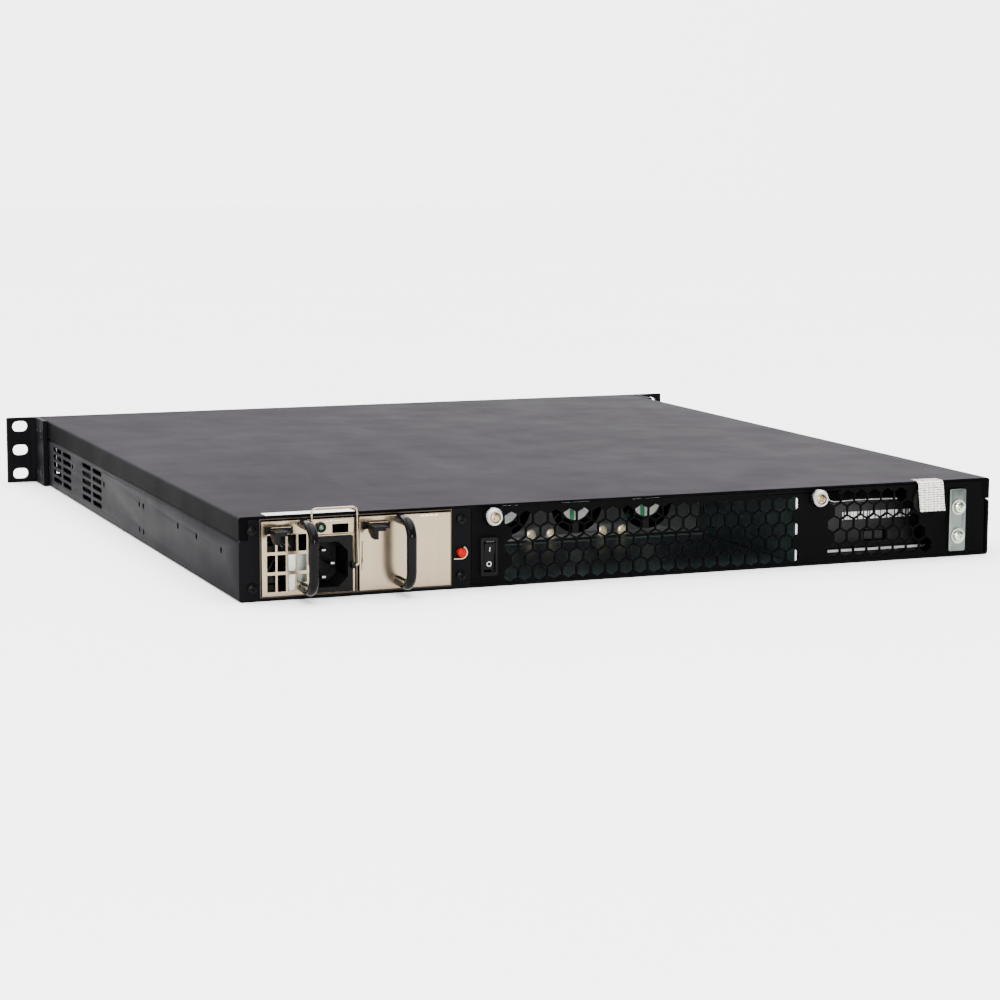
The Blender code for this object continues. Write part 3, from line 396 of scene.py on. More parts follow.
def arc(centre, radius, start, end, steps):
    """Points from one angle to another, in degrees."""
    angles = [math.radians(start + (end - start) * i / steps) for i in range(steps + 1)]
    return [(centre[0] + radius * math.cos(a), centre[1] + radius * math.sin(a)) for a in angles]


def rounded(a, b, radius, steps=4):
    corners = (((a[1] - radius, b[0] + radius), -90), ((a[1] - radius, b[1] - radius), 0),
               ((a[0] + radius, b[1] - radius), 90), ((a[0] + radius, b[0] + radius), 180))
    return [point for centre, start in corners
            for point in arc(centre, radius, start, start + 90, steps)]


AXES = {"x": (2, 0, 1), "y": (0, 2, 1), "z": (0, 1, 2)}


class Sketch:
    """Closed shapes collected in one mesh."""

    def __init__(self):
        self.corners, self.faces = [], []

    def add(self, corners, faces):
        base = len(self.corners)
        self.corners += [tuple(corner) for corner in corners]
        self.faces += [[base + i for i in face] for face in faces]
        return self

    def skin(self, loops, capped=True):
        """Sides between equally long loops, with end faces or joined in a ring."""
        count = len(loops[0])
        total = count * len(loops)
        stop, faces = total, []
        if capped:
            stop = total - count
            faces = [list(range(count))[::-1], list(range(stop, total))]
        for base in range(0, stop, count):
            for i in range(count):
                j = (i + 1) % count
                faces.append([base + i, base + j, (base + count + j) % total,
                              (base + count + i) % total])
        return self.add([corner for loop in loops for corner in loop], faces)

    def prism(self, outline, axis, low, high):
        order = AXES[axis]
        return self.skin([[[(a, b, level)[i] for i in order] for a, b in outline]
                          for level in (low, high)])

    def box(self, x, y, z):
        return self.prism([(x[0], y[0]), (x[1], y[0]), (x[1], y[1]), (x[0], y[1])], "z", *z)

    def lathe(self, profile, centre, axis, count=32):
        """(radius, along) points turned about an axis; both ends are on it."""
        corners, faces, rings = [], [], []
        for radius, along in profile:
            flat = circle(centre, radius, count) if radius > 1e-6 else [centre]
            rings.append(range(len(corners), len(corners) + len(flat)))
            for a, b in flat:
                corners.append({"x": (along, a, b), "y": (a, along, b), "z": (a, b, along)}[axis])
        for first, second in zip(rings, rings[1:]):
            for i in range(count):
                j = (i + 1) % count
                face = [first[i % len(first)], first[j % len(first)],
                        second[j % len(second)], second[i % len(second)]]
                faces.append(list(dict.fromkeys(face)))
        return self.add(corners, faces)

    def tube(self, route, radius, sides=12):
        """A round bar along a route, with flat ends."""
        points = [Vector(point) for point in route]
        side = (points[1] - points[0]).orthogonal().normalized()
        section = circle((0, 0), radius, sides)
        loops = []
        for index, point in enumerate(points):
            before = points[max(index - 1, 0)]
            after = points[min(index + 1, len(points) - 1)]
            ahead = (after - before).normalized()
            side = (side - ahead * side.dot(ahead)).normalized()
            up = ahead.cross(side)
            loops.append([point + a * side + b * up for a, b in section])
        return self.skin(loops)


def smooth_route(points, steps=8):
    """A curve through given points (Catmull-Rom)."""
    points = [Vector(point) for point in points]
    points = [2 * points[0] - points[1], *points, 2 * points[-1] - points[-2]]
    route = []
    for a, b, c, d in zip(points, points[1:], points[2:], points[3:]):
        for t in (i / steps for i in range(steps)):
            route.append(0.5 * (2 * b + (c - a) * t + (2 * a - 5 * b + 4 * c - d) * t * t
                                + (3 * b - a - 3 * c + d) * t ** 3))
    return route + [points[-2]]


# ---- pieces ----

def shade(mesh, angle=35):
    """Smooth shading, with edges sharper than an angle kept crisp."""
    mesh.shade_smooth()
    mesh.set_sharp_from_angle(angle=math.radians(angle))


def soften(obj, width, angle, segments):
    """A narrow round on the sharp edges."""
    bevel = obj.modifiers.new("rounded_edges", "BEVEL")
    bevel.width = width * MM
    bevel.segments = segments
    bevel.limit_method = "ANGLE"
    bevel.angle_limit = math.radians(angle)
    bevel.use_clamp_overlap = True
    bevel.harden_normals = True


def closed_mesh(name, sketch):
    """A sketch as a mesh in metres, its faces turned outward."""
    mesh = bpy.data.meshes.new(name)
    mesh.from_pydata([Vector(corner) * MM for corner in sketch.corners], [], sketch.faces)
    work = bmesh.new()
    work.from_mesh(mesh)
    bmesh.ops.recalc_face_normals(work, faces=work.faces)
    work.to_mesh(mesh)
    work.free()
    return mesh


def attach(obj, look, body, hides=()):
    """Gives a piece its look and its body, and hides the parts it stands for."""
    obj.data.materials.clear()
    obj.data.materials.append(looks[look])
    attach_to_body(obj, body)
    if hides:
        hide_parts(*hides)
    return obj


def piece(name, sketch, look, body, bevel=0.0, hides=(), angle=35, segments=2):
    mesh = closed_mesh(name, sketch)
    shade(mesh, angle)
    obj = add_object(name, mesh)
    if bevel:
        soften(obj, bevel, angle, segments)
    return attach(obj, look, body, hides)


def refined(node, look, bevel, angle=35, segments=2, merge=True):
    """A part's own shape with its flat faces merged and its edges rounded."""
    mesh = nodes[node].data.copy()
    mesh.name = f"{node}_fine"
    work = bmesh.new()
    work.from_mesh(mesh)
    bmesh.ops.remove_doubles(work, verts=work.verts, dist=1e-6)
    if merge:
        bmesh.ops.dissolve_limit(work, angle_limit=math.radians(0.5), verts=work.verts,
                                 edges=work.edges)
    bmesh.ops.recalc_face_normals(work, faces=work.faces)
    work.to_mesh(mesh)
    work.free()
    shade(mesh, angle)
    obj = add_object(f"{node}_fine", mesh)
    soften(obj, bevel, angle, segments)
    return attach(obj, look, body_of_node[node], [node])


def cut_mesh(name, sketch, cutter):
    """One sketch with the shape of another cut out of it."""
    base = add_object(name, closed_mesh(name, sketch))
    tool = add_object(f"{name}_tool", closed_mesh(f"{name}_tool", cutter))
    step = base.modifiers.new("recess", "BOOLEAN")
    step.operation = "DIFFERENCE"
    step.object = tool
    bpy.context.view_layer.update()
    graph = bpy.context.evaluated_depsgraph_get()
    mesh = bpy.data.meshes.new_from_object(base.evaluated_get(graph))
    for obj in (base, tool):
        bpy.data.objects.remove(obj, do_unlink=True)
    shade(mesh)
    return mesh


def cross(size, arm):
    """The outline of a cross recess."""
    return [(arm, -arm), (size, -arm), (size, arm), (arm, arm), (arm, size), (-arm, size),
            (-arm, arm), (-size, arm), (-size, -arm), (-arm, -arm), (-arm, -size), (arm, -size)]


screw_meshes = {}


def screw(name, at, facing, radius, look, body, height):
    """A cross-recess screw head, with painted shade in its recess, that stands on a point."""
    key = (radius, height)
    if key not in screw_meshes:
        dome = [(0, -0.2), (radius * 0.96, -0.2), (radius, height * 0.25),
                (radius * 0.9, height * 0.65), (radius * 0.62, height * 0.93), (0, height)]
        head = Sketch().lathe(dome, (0, 0), "z", 28)
        recess = Sketch().prism(cross(radius * 0.6, radius * 0.16), "z", height * 0.25, height + 1)
        screw_meshes[key] = cut_mesh("screw_head", head, recess)
        # recess faces take the second, dark look: painted shade
        for face in screw_meshes[key].polygons:
            across, up = math.hypot(face.center.x, face.center.y) / MM, face.center.z / MM
            sunk = face.normal.z < 0.3 or up < height * 0.3
            face.material_index = int(sunk and across < radius * 0.62 and 0 < up < height * 0.9)
    obj = add_object(name, screw_meshes[key].copy())
    angle = rng.uniform(0, math.pi / 2)
    aim = Vector(facing).to_track_quat("Z", "Y").to_matrix().to_4x4()
    obj.matrix_world = Matrix.Translation(Vector(at) * MM) @ aim @ Matrix.Rotation(angle, 4, "Z")
    attach(obj, look, body)
    # the dark epoxy look on the recess faces is painted shade
    obj.data.materials.append(looks["chip"])


# ---- carried-over parts ----

def coat_parts():
    """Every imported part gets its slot's procedural look."""
    for node, obj in nodes.items():
        obj.data.materials.clear()
        obj.data.materials.append(looks[SLOT_LOOK[slot_of_node[node]]])


def refine_sheets():
    """Perforated sheets keep all their faces, so that their edges round cleanly."""
    whole = (("base_tray", "paint", 0.2), ("front_panel", "paint", 0.25),
             ("rack_ear_right", "paint", 0.25), ("rack_ear_left", "paint", 0.25),
             ("expansion_tray", "paint", 0.2), ("fan_wall", "wall", 0.15),
             ("psu_case", "nickel", 0.2), ("filler_module", "nickel", 0.22),
             ("ground_plate", "zinc", 0.3))
    for node, look, bevel in whole:
        refined(node, look, bevel, merge=False)
    # the rear plate takes the darker copy of the coat: painted shade
    refined("rear_vent_plate", "shaded_rear_paint", 0.10, segments=1, merge=False)
    for node, look, bevel in (("top_cover", "lid", 0.25), ("psu_cage", "cage", 0.12),
                              ("partition_wall", "liner", 0.2), ("drive_tray", "zinc", 0.2),
                              ("hole_plug", "plastic", 0.1)):
        refined(node, look, bevel)


def strip_screws():
    """Black screws on the rear strips beside the power modules."""
    for column, across in (("corner", WALL_X[1] - 6.6), ("middle", mid(span("alarm_button")[0]))):
        for row, level in (("upper", 36.7), ("lower", 7.0)):
            screw(f"{column}_screw_{row}", (across, REAR, level), (0, 1, 0), 2.8, "plastic",
                  "chassis", 1.7)


def u_bar(node, name, body):
    """The round handle, bent from one bar."""
    x, y, z = span(node)
    radius, bend = (x[1] - x[0]) / 2, 8.0
    centre, reach = mid(x), y[1] - radius
    low, high = z[0] + radius, z[1] - radius
    path = [(y[0], low)] + arc((reach - bend, low + bend), bend, -90, 0, 14)
    path += arc((reach - bend, high - bend), bend, 0, 90, 14) + [(y[0], high)]
    bar = Sketch().tube([(centre, a, b) for a, b in path], radius, 28)
    piece(name, bar, "gloss", body, 0.1, [node], 50)


def latches():
    """Thumb levers with grip ribs and a plated spring on top."""
    for node, body in (("psu_latch", "supply_latch"), ("filler_latch", "filler_catch")):
        refined(node, "plastic", 0.4, segments=3)
        x, y, z = span(node)
        arm_top = z[1] - 1.0
        ribs = Sketch()
        for i in range(5):
            start = y[1] - 1.6 - i * 1.7
            ribs.prism(arc((start, arm_top), 0.42, 0, 180, 5), "x", x[0] + 5.2, x[1] - 3.4)
        piece(f"{node}_ribs", ribs, "plastic", body)
        leaf = [(y[0] + 0.3, z[1] + 0.1), (y[0] + 0.3, z[1] + 0.4), (y[0] + 2.4, z[1] + 0.5),
                (y[0] + 3.2, z[1] + 0.1), (y[0] + 3.0, z[1] - 0.1), (y[0] + 2.2, z[1] + 0.2)]
        piece(f"{node}_leaf", Sketch().prism(leaf, "x", x[0] + 1.5, x[1] - 3.0), "nickel", body,
              0.08)


def spring_fingers():
    """Bowed earthing fingers along each module's upper edge and left side."""
    for node, body in (("psu_case", "supply"), ("filler_module", "filler")):
        x, y, z = span(node)
        hub = (y[1] - 2.6, z[1] - 3.6)
        bow = arc(hub, 4.1, 35, 145, 10) + arc(hub, 3.9, 145, 35, 10)
        fingers = Sketch()
        for i in range(4):
            left = x[1] - 42.6 + i * 2.6
            fingers.prism(bow, "x", left, left + 1.9)
        piece(f"{node}_fingers", fingers, "steel", body)
        lip = Sketch().box((x[0] + 1.0, x[1] - 1.0), (y[1] - 0.1, y[1] + 0.35),
                           (z[1] - 1.3, z[1] - 0.2))
        piece(f"{node}_lip", lip, "nickel", body, 0.12)
        side = arc((y[1] - 4.6, 0.0), 5.4, 8, 38, 6) + arc((y[1] - 4.6, 0.0), 5.1, 38, 8, 6)
        leaf = Sketch().prism([(x[1] - 2.6 + b * 0.6, a) for a, b in side], "z", 13.0, 28.0)
        piece(f"{node}_side_leaf", leaf, "nickel", body, 0.05)


def mains_inlet():
    """The inlet's three blades on their floor, and a folded lip above it."""
    x, _, z = span("inlet_housing")
    refined("inlet_housing", "plastic", 0.45, segments=3)
    blade_x, blade_y, blade_z = span("inlet_contacts")
    floor = Sketch().box(blade_x, (blade_y[0], blade_y[0] + 1.6), blade_z)
    middle = mid(blade_z)
    blades = Sketch()
    pitch, live, earth = 7.0, x[1] - 6.4, x[1] - 11.2
    for across, up in ((live, pitch), (earth, 0.0), (live, -pitch)):
        for sign in (-1, 1):
            floor.prism(circle((across + sign * 3.0, middle + up), 0.7, 10), "y",
                        blade_y[0], blade_y[0] + 1.9)
        tip = [(across - 1.7, blade_y[0] + 1.0), (across + 1.7, blade_y[0] + 1.0),
               (across + 1.7, blade_y[1] - 1.0), (across + 1.0, blade_y[1]),
               (across - 1.0, blade_y[1]), (across - 1.7, blade_y[1] - 1.0)]
        blades.prism(tip, "z", middle + up - 0.6, middle + up + 0.6)
    piece("inlet_floor", floor, "plastic", "supply", 0.1)
    piece("inlet_blades", blades, "steel", "supply", 0.25,
          ["inlet_contacts"])
    ledge = Sketch().prism([(REAR + 0.5, z[1] + 0.4), (REAR + 1.5, z[1] + 0.4),
                            (REAR + 1.5, z[1] + 0.9), (REAR + 0.9, z[1] + 1.2),
                            (REAR + 0.5, z[1] + 1.2)], "x", x[0] - 0.6, x[1] + 1.2)
    piece("inlet_ledge", ledge, "nickel", "supply", 0.1)


def supply_lamp():
    x, y, z = span("psu_lamp")
    centre, radius = (mid(x), mid(z)), (x[1] - x[0]) / 2
    ring = [(0, y[0]), (radius * 0.68, y[0]), (radius * 0.7, y[1] - 1.6), (radius, y[1] - 1.55),
            (radius, y[1] - 0.9), (radius * 0.86, y[1] - 0.55), (radius * 0.6, y[1] - 0.6),
            (radius * 0.56, y[1] - 1.2), (0, y[1] - 1.2)]
    piece("lamp_ring", Sketch().lathe(ring, centre, "y"), "plastic", "supply",
          0.05, ["psu_lamp"])
    dome = [(0, y[1] - 2.0)] + [(radius * 0.54 * math.cos(a), y[1] - 1.2 + 1.1 * math.sin(a))
                                for a in (0.0, 0.3, 0.6, 0.9, 1.2)] + [(0, y[1] - 0.1)]
    piece("lamp_dome", Sketch().lathe(dome, centre, "y"), "green_lens", "supply")


def cord_retainer():
    """The wire bow with soft bends and a hooked end at each pivot."""
    x, _, z = span("cord_bail")
    wire = 0.6
    pivot_y, pivot_z = REAR + 4.4, z[0] + wire
    top, near, far = z[1] - wire, x[1] - wire, x[0] + wire
    lean = pivot_y - 2.4

    def leg(edge, inward, hook):
        return [(edge + inward * hook, pivot_y, pivot_z), (edge + inward * 1.2, pivot_y, pivot_z),
                (edge + inward * 0.2, pivot_y, pivot_z + 0.6), (edge, pivot_y - 0.1, pivot_z + 2.2),
                (edge, mid((pivot_y, lean)), mid((pivot_z, top))), (edge, lean + 0.15, top - 3.0),
                (edge + inward * 0.5, lean, top - 1.0), (edge + inward * 1.9, lean, top - 0.1),
                (edge + inward * 5.0, lean, top)]

    path = leg(near, -1, 2.6) + [(mid((near, far)), lean, top)] + leg(far, 1, 3.2)[::-1]
    piece("cord_bow", Sketch().tube(smooth_route(path, 6), wire, 14), "nickel", "bail",
          hides=["cord_bail"])


def supply_inside():
    """What shows through the module's grille: terminals, film and leads."""
    x, y, z = span("psu_case")
    back = y[1] - 9.0
    height = (z[0] + 1.2, z[0] + 20.8)
    block = Sketch().box((x[1] - 19.4, x[1] - 14.9), (y[1] - 5.0, y[1] - 3.0), height)
    piece("supply_terminal", block, "white", "supply", 0.6)
    film = Sketch().box((x[1] - 25.4, x[1] - 20.4), (y[1] - 7.0, y[1] - 5.0), height)
    piece("supply_film", film, "pale", "supply", 0.4)
    for number in range(3):
        across = x[1] - 15.0 - number * 1.9
        route = smooth_route([(across, back - 2.0, z[0] + 20.5),
                              (across + 2.0, back + 1.5, z[0] + 24.0),
                              (across + 5.5, back - 3.0, z[0] + 27.0 + number),
                              (across + 6.0, back - 16.0, z[0] + 29.0)])
        piece(f"supply_lead_{number}", Sketch().tube(route, 0.7, 10), "black_wire", "supply")


def rear_buttons():
    """The red key in its metal rim, and the rocker with its marks."""
    x, y, z = span("alarm_button")
    centre, radius = (mid(x), mid(z)), 2.4
    dome = [(0, y[0]), (3.2, y[0]), (3.2, y[0] + 1.6), (radius, y[0] + 1.8),
            (radius, y[1] - 0.9), (radius - 0.15, y[1] - 0.45), (radius - 0.6, y[1] - 0.15),
            (radius - 1.4, y[1]), (0, y[1])]
    piece("red_key", Sketch().lathe(dome, centre, "y"), "red", "alarm_key",
          hides=["alarm_button"])
    bx, by, bz = span("alarm_bezel")
    outer = (bz[1] - bz[0]) / 2
    inner = outer - 0.75
    rim = arc(centre, outer, 110, 270, 24)
    rim += [(bx[1], centre[1] - outer), (bx[1], centre[1] - inner)]
    rim += arc(centre, inner, 270, 110, 24)
    piece("key_rim", Sketch().prism(rim, "y", by[0], by[1]), "nickel", "chassis", 0.15,
          ["alarm_bezel"])
    seat = [(2.7, by[0] - 0.2), (inner, by[0] - 0.2), (inner, by[0] + 0.1), (2.7, by[0] + 0.1),
            (2.7, by[0] - 0.2)]
    piece("key_seat", Sketch().lathe(seat, centre, "y"), "plastic", "chassis")
    refined("switch_bezel", "dull_plastic", 0.3, segments=3)
    refined("switch_rocker", "plastic", 0.35, segments=3)
    rocker_marks()


def rocker_marks():
    """A ring and a stroke printed on the rocker's two slopes."""
    x, y, z = span("switch_rocker")
    crest = Vector((mid(x), y[0] + 8.1, mid(z)))
    slope_length, thick = 7.2, 0.03
    wide, narrow = circle((0, 0), 1.35, 28), circle((0, 0), 1.0, 28)
    stroke = [(-0.13, -1.2), (0.13, -1.2), (0.13, 1.2), (-0.13, 1.2)]
    marks = (("ring_mark", -1, -0.18, ((wide, 0), (narrow, 0), (narrow, thick), (wide, thick))),
             ("stroke_mark", 1, 1.58, ((stroke, 0), (stroke, thick))))
    for name, sign, rise, loops in marks:
        tip = crest + Vector((0, rise, sign * slope_length))
        along = (tip - crest).normalized()
        out = sign * Vector((0, along.z, -along.y))
        at = crest.lerp(tip, 0.55) + out * 0.04
        shape = Sketch().skin([[at + Vector((a, 0, 0)) + b * along + level * out
                                for a, b in loop] for loop, level in loops], len(loops) == 2)
        piece(name, shape, "mark", "rocker")


def knurled(name, node, facing, body):
    """A captive thumbscrew: straight-knurled rim, threaded shank and brass drive."""
    x, y, z = span(node)
    centre, radius = (mid(x), mid(z)), (x[1] - x[0]) / 2
    tail, face = y if facing > 0 else y[::-1]
    base = (REAR if facing > 0 else FRONT) + facing * 0.4
    count = 4 * 36
    loops = []
    for size, along in ((radius - 0.7, base), (radius - 0.35, base + facing * 0.5),
                        (radius, base + facing * 0.9), (radius, face - facing * 1.0),
                        (radius - 0.4, face - facing * 0.5), (radius - 0.9, face)):
        depth = 0.28 if size > radius - 0.4 else 0.1
        loop = []
        for i in range(count):
            angle = math.tau * i / count
            reach = size - depth * (0.5 - 0.5 * math.cos(math.tau * i / 4))
            loop.append((centre[0] + reach * math.cos(angle), along,
                         centre[1] + reach * math.sin(angle)))
        loops.append(loop)
    bore = radius * 0.62
    recess = Sketch().lathe([(0, face + facing), (bore, face + facing), (bore, face - facing),
                             (0, face - facing)], centre, "y", 32)
    knob = add_object(f"{name}_knob", cut_mesh(f"{name}_knob", Sketch().skin(loops), recess))
    attach(knob, "steel", body, [node])
    shank = [(0, tail), (1.3, tail), (1.7, tail + facing * 0.6), (1.7, base + facing * 0.5),
             (0, base + facing * 0.5)]
    thread = Sketch().lathe(shank, centre, "y", 20)
    for i in range(6):
        along = tail + facing * (1.0 + i * 0.7)
        thread.lathe([(0, along), (1.7, along + facing * 0.05), (1.95, along + facing * 0.3),
                      (1.7, along + facing * 0.55), (0, along + facing * 0.6)], centre, "y", 20)
    piece(f"{name}_thread", thread, "steel", body)
    screw(f"{name}_drive", (centre[0], face - facing * 0.95, centre[1]), (0, facing, 0),
          radius * 0.58, "brass", body, 0.93)


def bonding():
    """Two washered screws on the zinc plate."""
    for node in ("ground_screw_lower", "ground_screw_upper"):
        x, y, z = span(node)
        centre, base = (mid(x), mid(z)), y[1] - 2.9
        washers = Sketch().lathe([(0, base), (4.4, base), (4.4, base + 0.7), (0, base + 0.7)],
                                 centre, "y", 36)
        washers.lathe([(0, base + 0.75), (3.2, base + 0.75), (3.2, base + 1.3), (0, base + 1.3)],
                      centre, "y", 30)
        piece(f"{node}_washers", washers, "steel", "chassis", 0.12, [node])
        screw(f"{node}_head", (centre[0], base + 1.3, centre[1]), (0, 1, 0), 3.0,
              "passivate", "chassis", 1.5)


def cover_strip():
    """A blank glossy label along the cover's rear edge, over the power module."""
    x = span("psu_case")[0]
    outline = rounded((x[0] - 0.6, x[1] - 2.4), (REAR - 9.4, REAR - 0.6), 0.8)
    piece("blank_strip", Sketch().prism(outline, "z", TOP + 0.02, TOP + 0.14), "strip", "cover",
          0.04)


def hanging_label():
    """A curled paper label that folds over the cover's rear edge."""
    x = (-187.6, -171.6)
    length, lying, thick = 24.0, 7.0, 0.12
    across, along = 10, 26
    grid = []
    for i in range(along + 1):
        t = i / along * length
        lean = 0.0
        if t < lying:
            y, z = REAR - 6.6 + t, TOP + 0.1
        else:
            drop = t - lying
            bend = min(drop / 1.6, 1.0)
            y = REAR + 0.35 + 1.75 * bend + 1.2 * max(0.0, drop / 20.0) ** 2
            z = TOP + 0.1 - drop + 0.3 * (1 - bend)
            lean = -0.06 * drop
        row = []
        for j in range(across + 1):
            s = j / across
            curl = 0.5 * (2 * s - 1) ** 2 * max(0.0, (t - 8.0) / 19.0)
            row.append(Vector((x[0] + (x[1] - x[0]) * s + lean, y + curl, z)))
        grid.append(row)
    corners = [p for row in grid for p in row]
    width = across + 1
    back = []
    for i, row in enumerate(grid):
        above, below = grid[max(i - 1, 0)], grid[min(i + 1, along)]
        for j, p in enumerate(row):
            normal = (row[min(j + 1, across)] - row[max(j - 1, 0)]).cross(below[j] - above[j])
            back.append(p + normal.normalized() * thick)
    total = len(corners)
    faces = []
    for i in range(along):
        for j in range(across):
            a, b = i * width + j, (i + 1) * width + j
            faces.append([a, a + 1, b + 1, b])
            faces.append([total + b, total + b + 1, total + a + 1, total + a])
    rim = (list(range(across + 1)) + [i * width + across for i in range(1, along + 1)]
           + [along * width + j for j in range(across - 1, -1, -1)]
           + [i * width for i in range(along - 1, 0, -1)])
    for a, b in zip(rim, rim[1:] + rim[:1]):
        faces.append([b, a, total + a, total + b])
    piece("paper_label", Sketch().add(corners + back, faces), "paper", "cover",
          angle=60)


# ---- seen through the holes ----

def fan_details():
    """Frames, rotors, hub labels, leads and the screws in the fan wall."""
    hole_pitch = 32.0
    wall_back = span("fan_wall")[1][0] + 1.0
    for number in FANS:
        node = f"fan_frame_{number}"
        x, y, z = span(node)
        centre = (mid(x), mid(z))
        refined(node, "fan", 0.3)
        label = Sketch().lathe([(0, y[1] + 0.02), (8.9, y[1] + 0.02), (8.9, y[1] + 0.12),
                                (0, y[1] + 0.12)], centre, "y", 36)
        piece(f"hub_label_{number}", label, f"hub_{number}", "chassis")
        corners = [(a, b) for a in (-1, 1) for b in (-1, 1)]
        if number == 3:
            corners.remove((-1, -1))
        for a, b in corners:
            at = (centre[0] + a * hole_pitch / 2, wall_back, centre[1] + b * hole_pitch / 2)
            screw(f"fan_screw_{number}_{a + 1}{b + 1}", at, (0, 1, 0), 3.2, "pale_brass",
                  "chassis", 1.6)
        refined(f"fan_rotor_{number}", "fan", 0.12, 30)
        route = smooth_route([(centre[0] + 12, y[0] + 3, 4.0), (centre[0] + 16, y[0] - 5, 3.0),
                              (centre[0] + 22, y[0] - 16, 6.0), (centre[0] + 24, y[0] - 26, 12.0)])
        piece(f"fan_lead_{number}", Sketch().tube(route, 0.9, 10),
              "black_wire", "chassis")
    refined("psu_fan_frame", "fan", 0.3)
    refined("psu_fan_rotor", "fan", 0.12, 30)


def drive_details():
    """The drive's lid, end label, connector and screws, and its tray's bare lip."""
    x, y, z = span("hard_drive")
    refined("hard_drive", "cast", 0.5)
    end = y[1]
    plate = Sketch().box((x[0] + 2.0, x[1] - 2.0), (y[0] + 3.0, end - 0.6),
                         (z[1] - 0.4, z[1] + 0.2))
    piece("drive_lid", plate, "alloy", "chassis", 0.15)
    label = Sketch().box((x[0] + 16.0, x[0] + 60.0), (end + 0.02, end + 0.14), (19.2, 23.5))
    piece("drive_label", label, "barcode", "chassis")
    socket = Sketch().box((x[0] + 33.0, x[0] + 45.0), (end - 3.6, end - 1.2),
                          (z[0] + 4.2, z[0] + 9.0))
    piece("drive_socket", socket, "chip", "chassis", 0.2)
    for number, across in enumerate((x[0] + 8.0, x[1] - 8.0)):
        screw(f"drive_screw_{number}", (across, end, 14.5), (0, 1, 0), 2.2, "steel", "chassis",
              1.1)
    tray_x, tray_y, tray_z = span("drive_tray")
    lip = Sketch().box((tray_x[0] + 9.0, tray_x[1]), (tray_y[1], tray_y[1] + 0.5),
                       (tray_z[0] + 0.1, z[0] + 0.1))
    piece("tray_lip", lip, "bare", "chassis", 0.12)


def bay_liner():
    """A plated floor sheet behind the fans, its upturned edge, and one thin lead."""
    x, _, z = span("partition_wall")
    wall_x, wall_y, _ = span("fan_wall")
    cage = span("psu_cage")[0]
    floor = Sketch().box((x[1] + 0.3, cage[0] - 0.6), (wall_y[1] + 0.3, REAR - 2.0), (1.24, 1.44))
    piece("bay_floor", floor, "liner", "chassis", 0.05)
    edge = Sketch().box((x[0] + 0.1, x[1] - 0.1), (REAR - 1.95, REAR - 1.5),
                        (z[0] + 0.5, z[1] - 0.5))
    piece("partition_edge", edge, "bare", "chassis", 0.1)
    joint = Sketch().box((x[1] + 0.5, wall_x[1] - 0.5), (wall_y[1] + 0.1, wall_y[1] + 0.7),
                         (1.5, 2.1))
    piece("floor_joint", joint, "liner", "chassis", 0.1)
    screw_x = mid(span("cover_thumbscrew_2")[0])
    lead = smooth_route([(screw_x - 6.0, REAR - 4.0, 40.0), (screw_x - 9.0, REAR - 3.4, 36.4),
                         (screw_x - 14.0, REAR - 5.0, 34.0), (screw_x - 30.0, REAR - 8.0, 33.8),
                         (screw_x - 56.0, REAR - 9.0, 33.2)])
    piece("bay_lead", Sketch().tube(lead, 0.3, 8), "white_wire", "chassis")


# ---- front ----

def jack_details(node, tab_up):
    """Contacts, back wall and two lamps in each cable jack of a block."""
    y = span(node)[1]
    refined(node, "alloy", 0.25)
    contacts, liner, lamps = Sketch(), Sketch(), Sketch()
    width, height, depth = 11.8, 8.4, 13.0
    for centre_x, centre_z in jack_centres(node):
        up = 1 if tab_up(centre_z) else -1
        for i in range(8):
            across = centre_x - 3.6 + i * 1.02
            contacts.tube([(across, y[0] + depth - 1.5, centre_z - up * height * 0.42),
                           (across, y[0] + 5.0, centre_z - up * height * 0.30),
                           (across, y[0] + 3.2, centre_z - up * height * 0.12)], 0.22, 6)
        liner.box((centre_x - width / 2 + 0.1, centre_x + width / 2 - 0.1),
                  (y[0] + depth - 1.0, y[0] + depth - 0.4),
                  (centre_z - height / 2 + 0.1, centre_z + height / 2 - 0.1))
        lamp_z = centre_z + up * (height / 2 - 1.5)
        for lamp_x in (centre_x - 4.4, centre_x + 4.4):
            lamps.box((lamp_x - 1.2, lamp_x + 1.2), (y[0] + 0.15, y[0] + 1.2),
                      (lamp_z - 0.7, lamp_z + 0.7))
    piece(f"{node}_contacts", contacts, "brass", "chassis")
    piece(f"{node}_liner", liner, "plastic", "chassis")
    piece(f"{node}_lamps", lamps, "clear_lens", "chassis", 0.15)


def jack_centres(node):
    x = span(node)[0]
    columns = round((x[1] - x[0]) / 17.0)
    rows = [14.6] if node == "console_block" else [14.6, 30.0]
    pitch = (x[1] - x[0]) / columns
    return [(x[0] + pitch * (i + 0.5), row) for i in range(columns) for row in rows]


